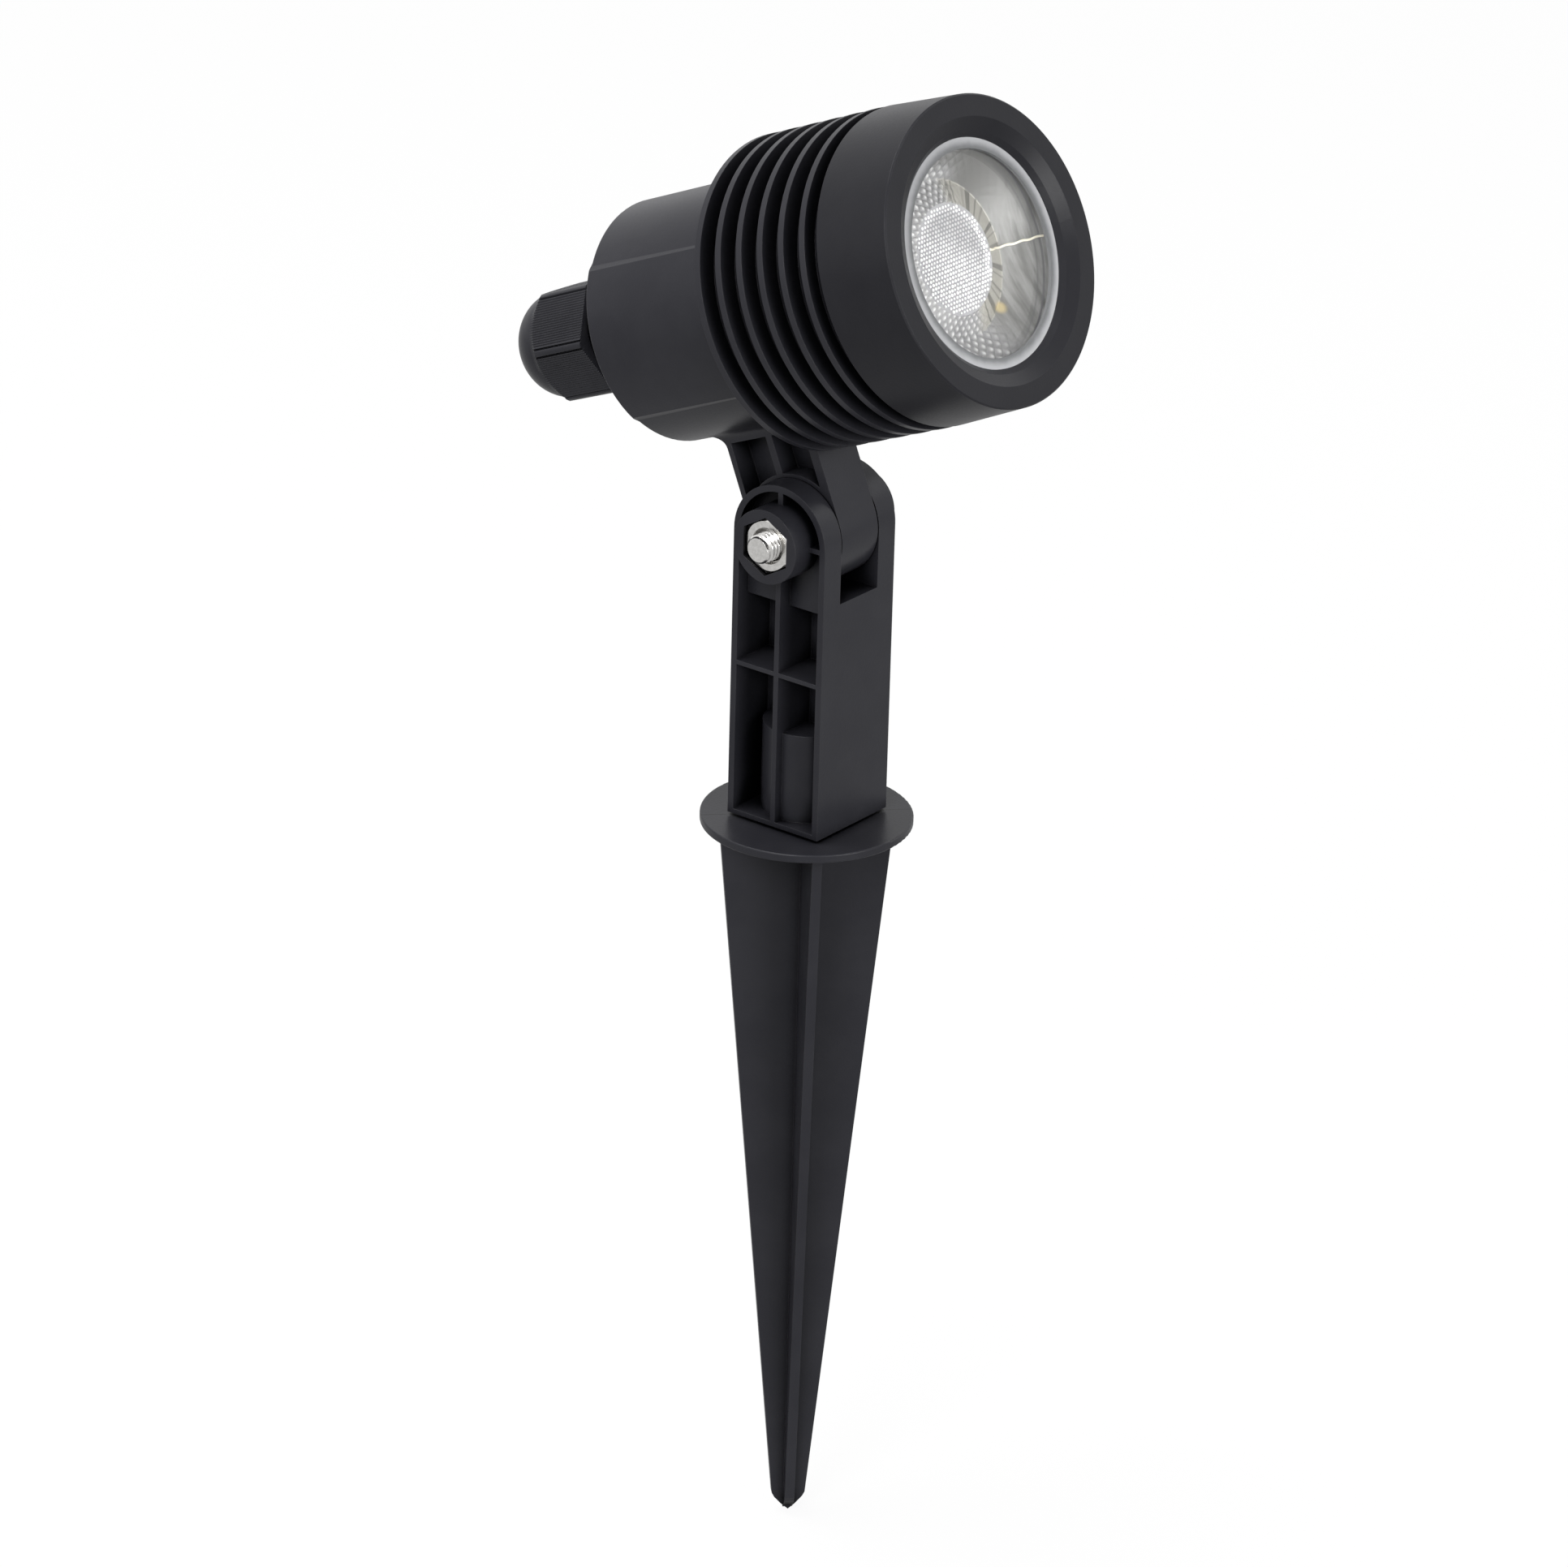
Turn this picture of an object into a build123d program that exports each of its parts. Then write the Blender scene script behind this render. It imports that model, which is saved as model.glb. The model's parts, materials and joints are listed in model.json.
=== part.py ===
from build123d import *
from math import cos, pi, radians, sin, sqrt
import os

# Garden spike spotlight, millimetres. +Z is up the spike's axis, the beam leaves towards -Y and
# the tilt axis is X. The origin is on the spike's axis at the ground line, the flange's underside.

# ground spike
FLANGE_R, FLANGE_THICK, FLANGE_ROUND = 21.15, 1.7, 0.3
FIN_THICK, FIN_ROOT_R = 2.0, 17.4
TIP_OUTLINE = [(3.42, -151.3), (2.90, -152.3), (1.40, -154.0), (0.0, -155.2)]
STUD_R, STUD_TOP, STUD_BORE_R, STUD_CHAMFER = 7.5, 19.6, 5.7, 0.6
BEAD_R, BEAD_Z, BEAD_HALF = 7.9, 14.5, 0.9
TURN_CLEARANCE, STEP_TOP = 0.08, 2.0
FIT, PLAY, THREAD_GAP, OVERLAP = 0.05, 0.1, 0.02, 0.01

# stem
STEM_HALF, STEM_BOTTOM, PLATE_TOP = 11.15, 2.3, 3.3
FRAME_WALL, WEB_HALF, RIB_THICK = 1.35, 0.8, 1.1
CROSS_RIB_Z, CROSS_RIB_THICK = 34.6, 0.9
SOCKET_R, SOCKET_TOP, SOCKET_ROOF = 9.2, 21.7, 1.6
PIVOT_Z, SLOT_HALF, SLOT_BOTTOM = 62.6, 5.95, 50.7
CHEEK_FLOOR_X, CHEEK_FLOOR_Z = 7.95, 48.35
BOSS_R, BOSS_END, SPOKE_THICK = 7.5, 15.7, 1.0
NUT_FLATS, NUT_THICK, NUT_SEAT, POCKET_FLATS = 10.0, 5.0, 10.0, 10.4
COUNTERBORE_R, HEAD_SEAT = 5.95, 11.0

# pivot fastener, M6 x 30
BOLT_R, BOLT_LENGTH, BOLT_BORE_R, BOLT_HOLE_R, BOLT_CHAMFER = 3.0, 30.0, 3.08, 3.1, 0.6
WASHER_R, WASHER_BORE_R, WASHER_THICK = 5.8, 3.2, 1.0
HEAD_R, HEAD_HEIGHT, HEAD_ROUND, KEY_FLATS, KEY_DEPTH = 5.25, 3.3, 1.4, 4.0, 2.0
NUT_CORNER_R, NUT_FACE_R, NUT_SEAT_R, NUT_BORE_R, NUT_SINK = 5.9, 5.0, 5.1, 3.02, 0.7
NUT_SEAT_SLANT, NUT_FACE_SLANT = 0.3, 0.4

# head: depths run from the front face of the bezel towards the cable gland
HEAD_TILT, FACE_REACH, LAMP_AXIS_UP = 22.8, 62.0, 44.85
BEZEL_FRONT_R, BEZEL_REAR_R, BEZEL_LENGTH, BEZEL_EDGE, BEZEL_REAR_EDGE = 29.95, 30.8, 16.55, 0.3, 0.2
CHAMFER_R, CHAMFER_END_R, CHAMFER_DEPTH, OPENING_R, LIP_THICK = 25.6, 23.1, 1.37, 22.0, 2.4
GLASS_R, GLASS_FRONT, GLASS_THICK = 25.9, 3.1, 3.0
GASKET_R, GASKET_INNER_R, GASKET_END, GASKET_REAR_INNER_R = 26.5, 19.9, 6.7, 24.6
COLLAR_FRONT, COLLAR_R, BORE_R = 6.75, 27.9, 25.5
RING_GROOVE_DEPTH, RING_GROOVE_R, RING_GROOVE_HALF, RING_SECTION_R = 13.4, 26.6, 0.75, 0.66
RIM_R, TRUNK_R, RIM_COUNT, RIM_PITCH, RIM_THICK, FIRST_RIM = 30.85, 26.9, 6, 5.33, 1.4, 20.1
TRUNK_FRONT, BORE_END = 19.0, 45.5
REAR_START, REAR_END, REAR_START_R, REAR_END_R, REAR_EDGE = 47.0, 82.3, 24.15, 23.9, 0.4
PAD_R, PAD_HALF_ANGLE, PAD_BLEND_ANGLE, PAD_BLEND_R, PAD_BLEND_SAG = 24.4, 37.2, 47.0, 23.45, 0.19
REAR_BORE_R, REAR_WALL = 21.4, 2.5
NECK_HALF, NECK_REACH, NECK_FILLET = 5.65, 11.1, 3.0
NECK_POCKET_DEPTH, NECK_RIB_HALF, NECK_POCKET_TOP, NECK_EYE_R = 4.9, 0.75, 19.6, 11.9
NECK_POCKET_FRONT, NECK_POCKET_REAR, NECK_ROOT = 9.0, 9.9, 22.2

# lamp with a two-pin twist base
LAMP_FRONT, LAMP_R, LAMP_WALL_R, LAMP_RIM_END, LAMP_WALL_START = 7.2, 24.9, 23.4, 10.0, 9.8
LAMP_TAPER_END, LAMP_TAIL_R, LAMP_TAIL, LAMP_TAIL_WALL, LAMP_SHELF_R = 38.0, 16.6, 41.0, 1.4, 15.5
LAMP_SHELF, LAMP_SEAT, LAMP_INNER_END = 1.5, 1.5, 0.2
OPTIC_FRONT, OPTIC_R, OPTIC_FLANGE, OPTIC_BACK_R, OPTIC_BEND = 7.25, 24.3, 8.85, 23.2, (22.0, 11.0)
DISC_R, DISC_DEPTH, MOAT_R, MOAT_DEPTH, CONE_R, CONE_TOP = 10.8, 10.8, 15.4, 12.5, 23.9, 7.45
OPTIC_REAR, OPTIC_REAR_R, CHIP_POCKET_R, CHIP_POCKET_TOP, CHIP_POCKET_DRAFT = 23.0, 7.6, 5.4, 17.5, 0.6
LED_R, LED_THICK, BOARD_R, BOARD_THICK, BOARD_FRONT = 5.0, 1.0, 18.3, 1.6, 24.6
DRIVER_HALF_X, DRIVER_HALF_Y, DRIVER_FRONT, DRIVER_END = 9.0, 0.8, 30.0, 52.0
CAPACITOR_R, CAPACITOR_Y, CAPACITOR_FRONT, CAPACITOR_END = 3.6, 4.5, 34.0, 46.0
COIL_HALF_X, COIL_Y, COIL_FRONT, COIL_END = 5.0, (-7.6, -0.85), 33.0, 43.0
BASE_START, BASE_END, BASE_R, BASE_END_R, BASE_WALL = 37.9, 55.2, 13.9, 12.0, 1.5
BASE_LIP_R, BASE_STEP, BASE_INNER_STEP = 15.0, (45.0, 46.5), (44.5, 46.0)
PIN_X, PIN_NECK_R, PIN_HEAD_R, PIN_HEAD, PIN_END = 5.0, 1.3, 2.4, 59.2, 62.6

# lamp holder, bracket and terminal block
HOLDER_HALF_X, HOLDER_HALF_Y, HOLDER_FRONT, HOLDER_END, HOLDER_ROUND = 13.2, 9.0, 55.6, 72.0, 4.0
CONTACT_R, CONTACT_BORE_R, CONTACT_FRONT, CONTACT_END, CONTACT_FLOOR = 2.85, 2.45, 58.5, 66.0, 0.8
BRACKET_THICK, BRACKET_HALF_X, BRACKET_HALF_Y, BRACKET_HOLE_R, BRACKET_GAP = 1.0, 19.2, 10.0, 6.5, 0.5
POST_X, POST_R, POST_FLOOR, HOLDER_SCREW_X, HOLDER_SCREW_HOLE = 16.2, 2.8, 0.5, 10.6, 8.0
SCREW_R, SCREW_HEAD_R, SCREW_HEAD, HOLDER_SCREW_GRIP, BRACKET_SCREW_GRIP = 1.45, 2.4, 1.8, 6.0, 5.5
BLOCK_HALF_X, BLOCK_TOP, BLOCK_BOTTOM, BLOCK_FRONT, BLOCK_END = 8.2, -18.5, -10.5, 64.2, 76.2
BLOCK_WALL, BLOCK_RAIL_HALF_X, BLOCK_RAIL_INSET, BLOCK_RAIL_ROOT = 1.0, 5.0, 1.5, 0.6
BARREL_Y, BARREL_R, BARREL_BORE_R, LEAD_R, LEAD_Z, LEAD_END = -14.5, 1.9, 1.0, 0.9, 60.0, 69.5
LEAD_BEND_R, TERMINAL_SCREW_R, TERMINAL_SCREW_DEPTHS = 3.2, 1.3, (67.7, 72.7)
TERMINAL_SCREW_SUNK, TERMINAL_SCREW_LENGTH = 0.6, 2.45
TERMINAL_HOLE, BARREL_HOLE, BLOCK_HOLE_PLAY = 3.0, 3.8, 0.2

# cable gland
GLAND_DROP, GLAND_THREAD_R, GLAND_FLATS, GLAND_FRONT = 0.15, 9.3, 21.0, 75.5
SEAT_RING_R, SEAT_RING_THICK, FLANGE_HEX, GLAND_BORE_R = 11.4, 1.0, 5.0, 5.6
GLAND_NECK_R, GLAND_NECK_END, CLAW_BORE_R, CLAW_BORE_FRONT = 9.0, 100.8, 7.7, 88.9
LOCKNUT_FLATS, LOCKNUT_THICK = 22.0, 3.5
CAP_FRONT, CAP_FRONT_FLATS, CAP_REAR_FLATS, CAP_CORNER_ROUND, CAP_CORNER_ANGLE = 96.45, 22.0, 21.7, 1.5, 2.7
CAP_GRIP_END, CAP_EDGE_START, CAP_EDGE_R, CAP_SHOULDER = 110.6, 108.9, 12.6, radians(27)
CAP_DOME_R, CAP_DOME_HEIGHT, CAP_LIP_R, CAP_HOLE_R, CAP_BORE_END, CAP_CONE = 10.8, 9.4, 6.4, 5.2, 108.9, 3.4
CLAW_FRONT, CLAW_COLLAR, CLAW_END, CLAW_R, CLAW_COLLAR_R, CLAW_SLOTS = 93.5, 105.5, 108.7, 7.6, 8.7, 6
CLAW_CHAMFER, CLAW_SLOT_HALF, CLAW_SLOT_LENGTH = (0.9, 0.5), 0.5, 7.2
SEAL_R, SEAL_BORE_R, SEAL_FRONT, SEAL_END = 6.2, 4.4, 95.0, 107.0

COIN = (Align.CENTER, Align.CENTER, Align.MIN)
pieces = {}


def rod(r, start, end, x=0.0, y=0.0):
    return Pos(x, y, start) * Cylinder(r, end - start, align=COIN)


def rod_x(r, start, end, y=0.0, z=0.0):
    return Pos(start, y, z) * Rot(0, 90, 0) * Cylinder(r, end - start, align=COIN)


def hexagon(flats, start, end, turn=0.0):
    return Pos(0, 0, start) * extrude(Rot(0, 0, turn) * RegularPolygon(flats / sqrt(3), 6), end - start)


def block(x0, x1, y0, y1, z0, z1):
    return Pos((x0 + x1) / 2, (y0 + y1) / 2, (z0 + z1) / 2) * Box(x1 - x0, y1 - y0, z1 - z0)


def turned(*outline):
    return revolve(make_face(Plane.XZ * Polyline(*outline, close=True)), Axis.Z)


def mirrored(solid):
    return solid + mirror(solid, Plane.YZ)


# ---- ground spike: four tapered fins on the diagonals under a flange and a snap-in stud
def ground_spike():
    half = [(FIN_ROOT_R, 0.0)] + TIP_OUTLINE
    outline = half + [(-r, z) for r, z in reversed(half[:-1])]
    blade = extrude(make_face(Plane.XZ * Polyline(*outline, close=True)), FIN_THICK / 2, both=True)
    cross = Rot(0, 0, 45) * blade + Rot(0, 0, -45) * blade
    flange = fillet(rod(FLANGE_R, 0, FLANGE_THICK).edges(), FLANGE_ROUND)
    stud = turned((STUD_BORE_R, FLANGE_THICK), (STUD_R, FLANGE_THICK), (STUD_R, BEAD_Z - BEAD_HALF),
                  (BEAD_R, BEAD_Z), (STUD_R, BEAD_Z + BEAD_HALF), (STUD_R, STUD_TOP - STUD_CHAMFER),
                  (STUD_R - STUD_CHAMFER, STUD_TOP), (STUD_BORE_R, STUD_TOP))
    return cross + flange + stud + rod(SOCKET_R, FLANGE_THICK, STEP_TOP)


# ---- stem: square box open to both sides, a socket below and a clevis on top
def stem_side():
    # what is cut from the -X side, down to the web in the middle or to the clevis's cheek
    inner = STEM_HALF - FRAME_WALL
    low = block(-STEM_HALF - 1, -WEB_HALF, -inner, inner, PLATE_TOP, CHEEK_FLOOR_Z)
    low -= block(-STEM_HALF - 1, 0, -inner, inner,
                 CROSS_RIB_Z - CROSS_RIB_THICK / 2, CROSS_RIB_Z + CROSS_RIB_THICK / 2)
    low -= rod(SOCKET_R, STEM_BOTTOM, SOCKET_TOP)
    high = block(-STEM_HALF - 1, -CHEEK_FLOOR_X, -inner, inner, CHEEK_FLOOR_Z, PIVOT_Z)
    high += rod_x(inner, -STEM_HALF - 1, -CHEEK_FLOOR_X, z=PIVOT_Z)
    high -= rod_x(BOSS_R, -STEM_HALF - 1, 0, z=PIVOT_Z)
    high -= block(-STEM_HALF - 1, 0, -inner, inner, PIVOT_Z - SPOKE_THICK / 2, PIVOT_Z + SPOKE_THICK / 2)
    upright = block(-STEM_HALF - 1, 0, -RIB_THICK / 2, RIB_THICK / 2, 0, PIVOT_Z + STEM_HALF)
    return low + high - upright


def stem():
    body = block(-STEM_HALF, STEM_HALF, -STEM_HALF, STEM_HALF, STEM_BOTTOM, PIVOT_Z)
    body += rod_x(STEM_HALF, -STEM_HALF, STEM_HALF, z=PIVOT_Z)
    body -= mirrored(stem_side())
    body += rod_x(BOSS_R, -BOSS_END, BOSS_END, z=PIVOT_Z)
    body -= block(-SLOT_HALF, SLOT_HALF, -STEM_HALF - 1, STEM_HALF + 1, SLOT_BOTTOM, PIVOT_Z + STEM_HALF + 1)
    r, top = STUD_R + TURN_CLEARANCE, SOCKET_TOP - SOCKET_ROOF
    groove = BEAD_R + TURN_CLEARANCE
    body -= turned((0, STEM_BOTTOM - 1), (r, STEM_BOTTOM - 1), (r, BEAD_Z - BEAD_HALF), (groove, BEAD_Z),
                   (r, BEAD_Z + BEAD_HALF), (r, top), (0, top))
    body -= rod_x(BOLT_HOLE_R, -BOSS_END - 1, BOSS_END + 1, z=PIVOT_Z)
    pocket = Rot(0, -90, 0) * hexagon(POCKET_FLATS, NUT_SEAT, BOSS_END + 1)
    body -= Pos(0, 0, PIVOT_Z) * pocket
    return body - rod_x(COUNTERBORE_R, HEAD_SEAT, BOSS_END + 1, z=PIVOT_Z)


def pivot_fastener():
    seat = HEAD_SEAT + WASHER_THICK
    top, end = seat + HEAD_HEIGHT, NUT_SEAT + NUT_THICK
    shank = rod_x(BOLT_R, seat - BOLT_LENGTH, seat)
    shank = chamfer(shank.faces().sort_by(Axis.X)[0].edges(), BOLT_CHAMFER)
    head = fillet(rod_x(HEAD_R, seat, top).faces().sort_by(Axis.X)[-1].edges(), HEAD_ROUND)
    key = Rot(0, 90, 0) * hexagon(KEY_FLATS, top - KEY_DEPTH, top + 1)
    nut = hexagon(NUT_FLATS, NUT_SEAT, end)
    nut &= turned((0, NUT_SEAT), (NUT_SEAT_R, NUT_SEAT), (NUT_CORNER_R, NUT_SEAT + NUT_SEAT_SLANT),
                  (NUT_CORNER_R, end - NUT_FACE_SLANT), (NUT_FACE_R, end), (0, end))
    nut -= turned((0, NUT_SEAT - 1), (NUT_BORE_R, NUT_SEAT - 1), (NUT_BORE_R, end - NUT_SINK),
                  (NUT_BORE_R + NUT_SINK, end), (NUT_BORE_R + NUT_SINK, end + 1), (0, end + 1))
    washer = rod_x(WASHER_R, HEAD_SEAT, seat) - rod_x(WASHER_BORE_R, HEAD_SEAT - 1, seat + 1)
    lift = Pos(0, 0, PIVOT_Z)
    return lift * (shank + head - key), lift * washer, lift * (Rot(0, -90, 0) * nut)


# ---- head: modelled with +Z from the bezel's face towards the gland, X kept and Y down
head_frame = (Pos(0, 0, PIVOT_Z) * Rot(-HEAD_TILT, 0, 0) * Pos(0, -FACE_REACH, LAMP_AXIS_UP)
              * Rot(-90, 0, 0))


def neck():
    # tongue from the rear body down to the pivot's eye, with pockets in both sides
    y, z = LAMP_AXIS_UP, FACE_REACH
    tongue = block(-NECK_HALF, NECK_HALF, NECK_ROOT, y, z - NECK_REACH, z + NECK_REACH)
    tongue += rod_x(NECK_REACH, -NECK_HALF, NECK_HALF, y, z)
    front = block(-NECK_HALF - 1, NECK_POCKET_DEPTH - NECK_HALF, y - NECK_POCKET_TOP, y,
                  z - NECK_POCKET_FRONT, z - NECK_RIB_HALF)
    rear = block(-NECK_HALF - 1, NECK_POCKET_DEPTH - NECK_HALF, y - NECK_POCKET_TOP, y,
                 z + NECK_RIB_HALF, z + NECK_POCKET_REAR)
    pockets = front + rear - rod_x(NECK_EYE_R, -NECK_HALF - 2, NECK_HALF, y, z)
    return tongue, mirrored(pockets)


def polar(r, degrees):
    # a point at this radius and angle from +X
    return r * cos(radians(degrees)), r * sin(radians(degrees))


def round_ended(start_r, end_r, start, end, edge):
    # a cone whose end has a rounded edge
    bend = edge * (1 - sqrt(0.5))
    return revolve(make_face(Plane.XZ * (
        Polyline((end_r - edge, end), (0, end), (0, start), (start_r, start), (end_r, end - edge))
        + ThreePointArc((end_r, end - edge), (end_r - bend, end - bend), (end_r - edge, end)))), Axis.Z)


def side_pads():
    # the rear body's two sides keep one radius while its top and bottom taper, and a hollow blends them
    edges = []
    hollow_r, hollow_angle = (PAD_R + PAD_BLEND_R) / 2 - PAD_BLEND_SAG, (PAD_HALF_ANGLE + PAD_BLEND_ANGLE) / 2
    for sign in (1, -1):
        corner, foot = polar(PAD_R, sign * PAD_HALF_ANGLE), polar(PAD_BLEND_R, sign * PAD_BLEND_ANGLE)
        middle = polar(hollow_r, sign * hollow_angle)
        edges += [Line((0, 0), foot), ThreePointArc(foot, middle, corner)]
    edges.append(ThreePointArc(polar(PAD_R, PAD_HALF_ANGLE), (PAD_R, 0), polar(PAD_R, -PAD_HALF_ANGLE)))
    pad = Pos(0, 0, REAR_START) * extrude(make_face(edges), REAR_END - REAR_START)
    return mirrored(pad & round_ended(PAD_R + OVERLAP, PAD_R + OVERLAP, REAR_START, REAR_END, REAR_EDGE))


def lamp_housing():
    body = rod(COLLAR_R, COLLAR_FRONT, TRUNK_FRONT + 1) + rod(TRUNK_R, TRUNK_FRONT, REAR_START + PLAY)
    for i in range(RIM_COUNT):
        middle = FIRST_RIM + i * RIM_PITCH
        body += rod(RIM_R, middle - RIM_THICK / 2, middle + RIM_THICK / 2)
    rear = round_ended(REAR_START_R, REAR_END_R, REAR_START, REAR_END, REAR_EDGE) + side_pads()
    tongue, pockets = neck()
    rear += tongue
    seam = [e for e in rear.edges() if abs(e.center().X) <= NECK_HALF + 0.1
            and REAR_BORE_R + 1 < e.center().Y < REAR_START_R + 1
            and REAR_START + 1 < e.center().Z < REAR_END - 1]
    body += fillet(seam, NECK_FILLET)
    body -= pockets
    body -= rod(BORE_R, 0, BORE_END)
    inside = REAR_END - REAR_WALL
    body -= rod(REAR_BORE_R, 0, inside)
    body -= (rod(COLLAR_R + 1, RING_GROOVE_DEPTH - RING_GROOVE_HALF, RING_GROOVE_DEPTH + RING_GROOVE_HALF)
             - rod(RING_GROOVE_R, 0, REAR_END))
    back = HOLDER_END + BRACKET_THICK
    for x in (-POST_X, POST_X):
        body += rod(POST_R, back, inside, x) - rod(SCREW_R, back, inside - POST_FLOOR, x)
    body += block(-BLOCK_RAIL_HALF_X, BLOCK_RAIL_HALF_X, -REAR_BORE_R - BLOCK_RAIL_ROOT, BLOCK_TOP,
                  BLOCK_FRONT + BLOCK_RAIL_INSET, BLOCK_END - BLOCK_RAIL_INSET)
    body -= rod(GLAND_THREAD_R + PLAY, inside - 1, REAR_END + 1, y=GLAND_DROP)
    return body - rod_x(BOLT_BORE_R, -NECK_HALF - 1, NECK_HALF + 1, LAMP_AXIS_UP, FACE_REACH)


def front_bezel():
    thread, recess = COLLAR_R + TURN_CLEARANCE, GASKET_R + FIT
    return turned((CHAMFER_R, 0), (BEZEL_FRONT_R - BEZEL_EDGE, 0), (BEZEL_FRONT_R, BEZEL_EDGE),
                  (BEZEL_REAR_R, BEZEL_LENGTH - BEZEL_REAR_EDGE),
                  (BEZEL_REAR_R - BEZEL_REAR_EDGE, BEZEL_LENGTH),
                  (thread, BEZEL_LENGTH), (thread, GASKET_END), (recess, GASKET_END),
                  (recess, LIP_THICK), (OPENING_R, LIP_THICK), (CHAMFER_END_R, CHAMFER_DEPTH))


def front_glazing():
    end = GLASS_FRONT + GLASS_THICK
    glass = rod(GLASS_R, GLASS_FRONT, end)
    gasket = turned((GASKET_INNER_R, LIP_THICK), (GASKET_R, LIP_THICK), (GASKET_R, GASKET_END),
                    (GASKET_REAR_INNER_R, GASKET_END), (GASKET_REAR_INNER_R, end), (GLASS_R, end),
                    (GLASS_R, GLASS_FRONT), (GASKET_INNER_R, GLASS_FRONT))
    ring = Pos(0, 0, RING_GROOVE_DEPTH) * Torus(RING_GROOVE_R + RING_SECTION_R, RING_SECTION_R)
    return glass, gasket, ring


# ---- lamp
def lamp_wall(depth):
    # inner radius of the lamp's tapered shell at this depth
    fall = LAMP_WALL_R - (LAMP_TAIL_R - LAMP_TAIL_WALL)
    return LAMP_WALL_R - fall * (depth - LAMP_WALL_START) / (LAMP_TAPER_END - LAMP_WALL_START)


def lamp_body():
    ledge = BOARD_FRONT + BOARD_THICK
    back, seat, neck_r = ledge + LAMP_SHELF, LAMP_TAIL - LAMP_SEAT, BASE_R + FIT
    end = LAMP_TAPER_END - LAMP_INNER_END
    return turned((LAMP_R, LAMP_FRONT), (LAMP_R, LAMP_RIM_END), (LAMP_TAIL_R, LAMP_TAPER_END),
                  (LAMP_TAIL_R, LAMP_TAIL), (neck_r, LAMP_TAIL), (neck_r, seat), (lamp_wall(end), seat),
                  (lamp_wall(end), end), (lamp_wall(back), back), (LAMP_SHELF_R, back),
                  (LAMP_SHELF_R, ledge), (lamp_wall(ledge), ledge), (LAMP_WALL_R, LAMP_WALL_START),
                  (LAMP_WALL_R, OPTIC_FLANGE), (OPTIC_R + FIT, OPTIC_FLANGE), (OPTIC_R + FIT, LAMP_FRONT))


def lamp_optic():
    # a flat disc, a shallow moat round it and a cone out to the flange
    return turned((0, DISC_DEPTH), (DISC_R, DISC_DEPTH), (MOAT_R, MOAT_DEPTH), (CONE_R, CONE_TOP),
                  (CONE_R + PLAY, OPTIC_FRONT), (OPTIC_R, OPTIC_FRONT), (OPTIC_R, OPTIC_FLANGE),
                  (OPTIC_BACK_R, OPTIC_FLANGE), OPTIC_BEND, (OPTIC_REAR_R, OPTIC_REAR),
                  (CHIP_POCKET_R, OPTIC_REAR), (CHIP_POCKET_R - CHIP_POCKET_DRAFT, CHIP_POCKET_TOP),
                  (0, CHIP_POCKET_TOP))


def lamp_electronics():
    led = rod(LED_R, BOARD_FRONT - LED_THICK, BOARD_FRONT)
    led_board = rod(BOARD_R, BOARD_FRONT, BOARD_FRONT + BOARD_THICK)
    driver = block(-DRIVER_HALF_X, DRIVER_HALF_X, -DRIVER_HALF_Y, DRIVER_HALF_Y, DRIVER_FRONT, DRIVER_END)
    capacitor = rod(CAPACITOR_R, CAPACITOR_FRONT, CAPACITOR_END, y=CAPACITOR_Y)
    coil = block(-COIL_HALF_X, COIL_HALF_X, *COIL_Y, COIL_FRONT, COIL_END)
    return led, led_board, driver, Compound([capacitor, coil])


def lamp_base():
    inner, inner_end, floor = BASE_R - BASE_WALL, BASE_END_R - BASE_WALL, BASE_END - BASE_WALL
    base = turned((0, floor), (inner_end, floor), (inner_end, BASE_INNER_STEP[1]),
                  (inner, BASE_INNER_STEP[0]), (inner, BASE_START), (BASE_LIP_R, BASE_START),
                  (BASE_LIP_R, BASE_START + BASE_WALL), (BASE_R, BASE_START + BASE_WALL),
                  (BASE_R, BASE_STEP[0]), (BASE_END_R, BASE_STEP[1]), (BASE_END_R, BASE_END), (0, BASE_END))
    pins = []
    for x in (-PIN_X, PIN_X):
        base -= rod(PIN_NECK_R, floor - 1, BASE_END + 1, x)
        pins.append(rod(PIN_NECK_R, floor, PIN_HEAD, x) + rod(PIN_HEAD_R, PIN_HEAD, PIN_END, x))
    return base, Compound(pins)


# ---- lamp holder on its bracket, with the terminal block above it
def lamp_holder():
    holder = block(-HOLDER_HALF_X, HOLDER_HALF_X, -HOLDER_HALF_Y, HOLDER_HALF_Y, HOLDER_FRONT, HOLDER_END)
    holder = fillet(holder.edges().filter_by(Axis.Z), HOLDER_ROUND)
    contacts = []
    for x in (-PIN_X, PIN_X):
        holder -= rod(CONTACT_R, HOLDER_FRONT - 1, CONTACT_END, x)
        side = x * HOLDER_SCREW_X / PIN_X
        holder -= rod(SCREW_R + FIT, HOLDER_END - HOLDER_SCREW_HOLE, HOLDER_END + 1, side)
        holder -= Pos(x, 0, LEAD_Z) * Rot(90, 0, 0) * Cylinder(LEAD_R + FIT, HOLDER_HALF_Y + 1, align=COIN)
        contacts.append(rod(CONTACT_R, CONTACT_FRONT, CONTACT_END, x)
                        - rod(CONTACT_BORE_R, CONTACT_FRONT - 1, CONTACT_END - CONTACT_FLOOR, x))
    return holder, Compound(contacts)


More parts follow.
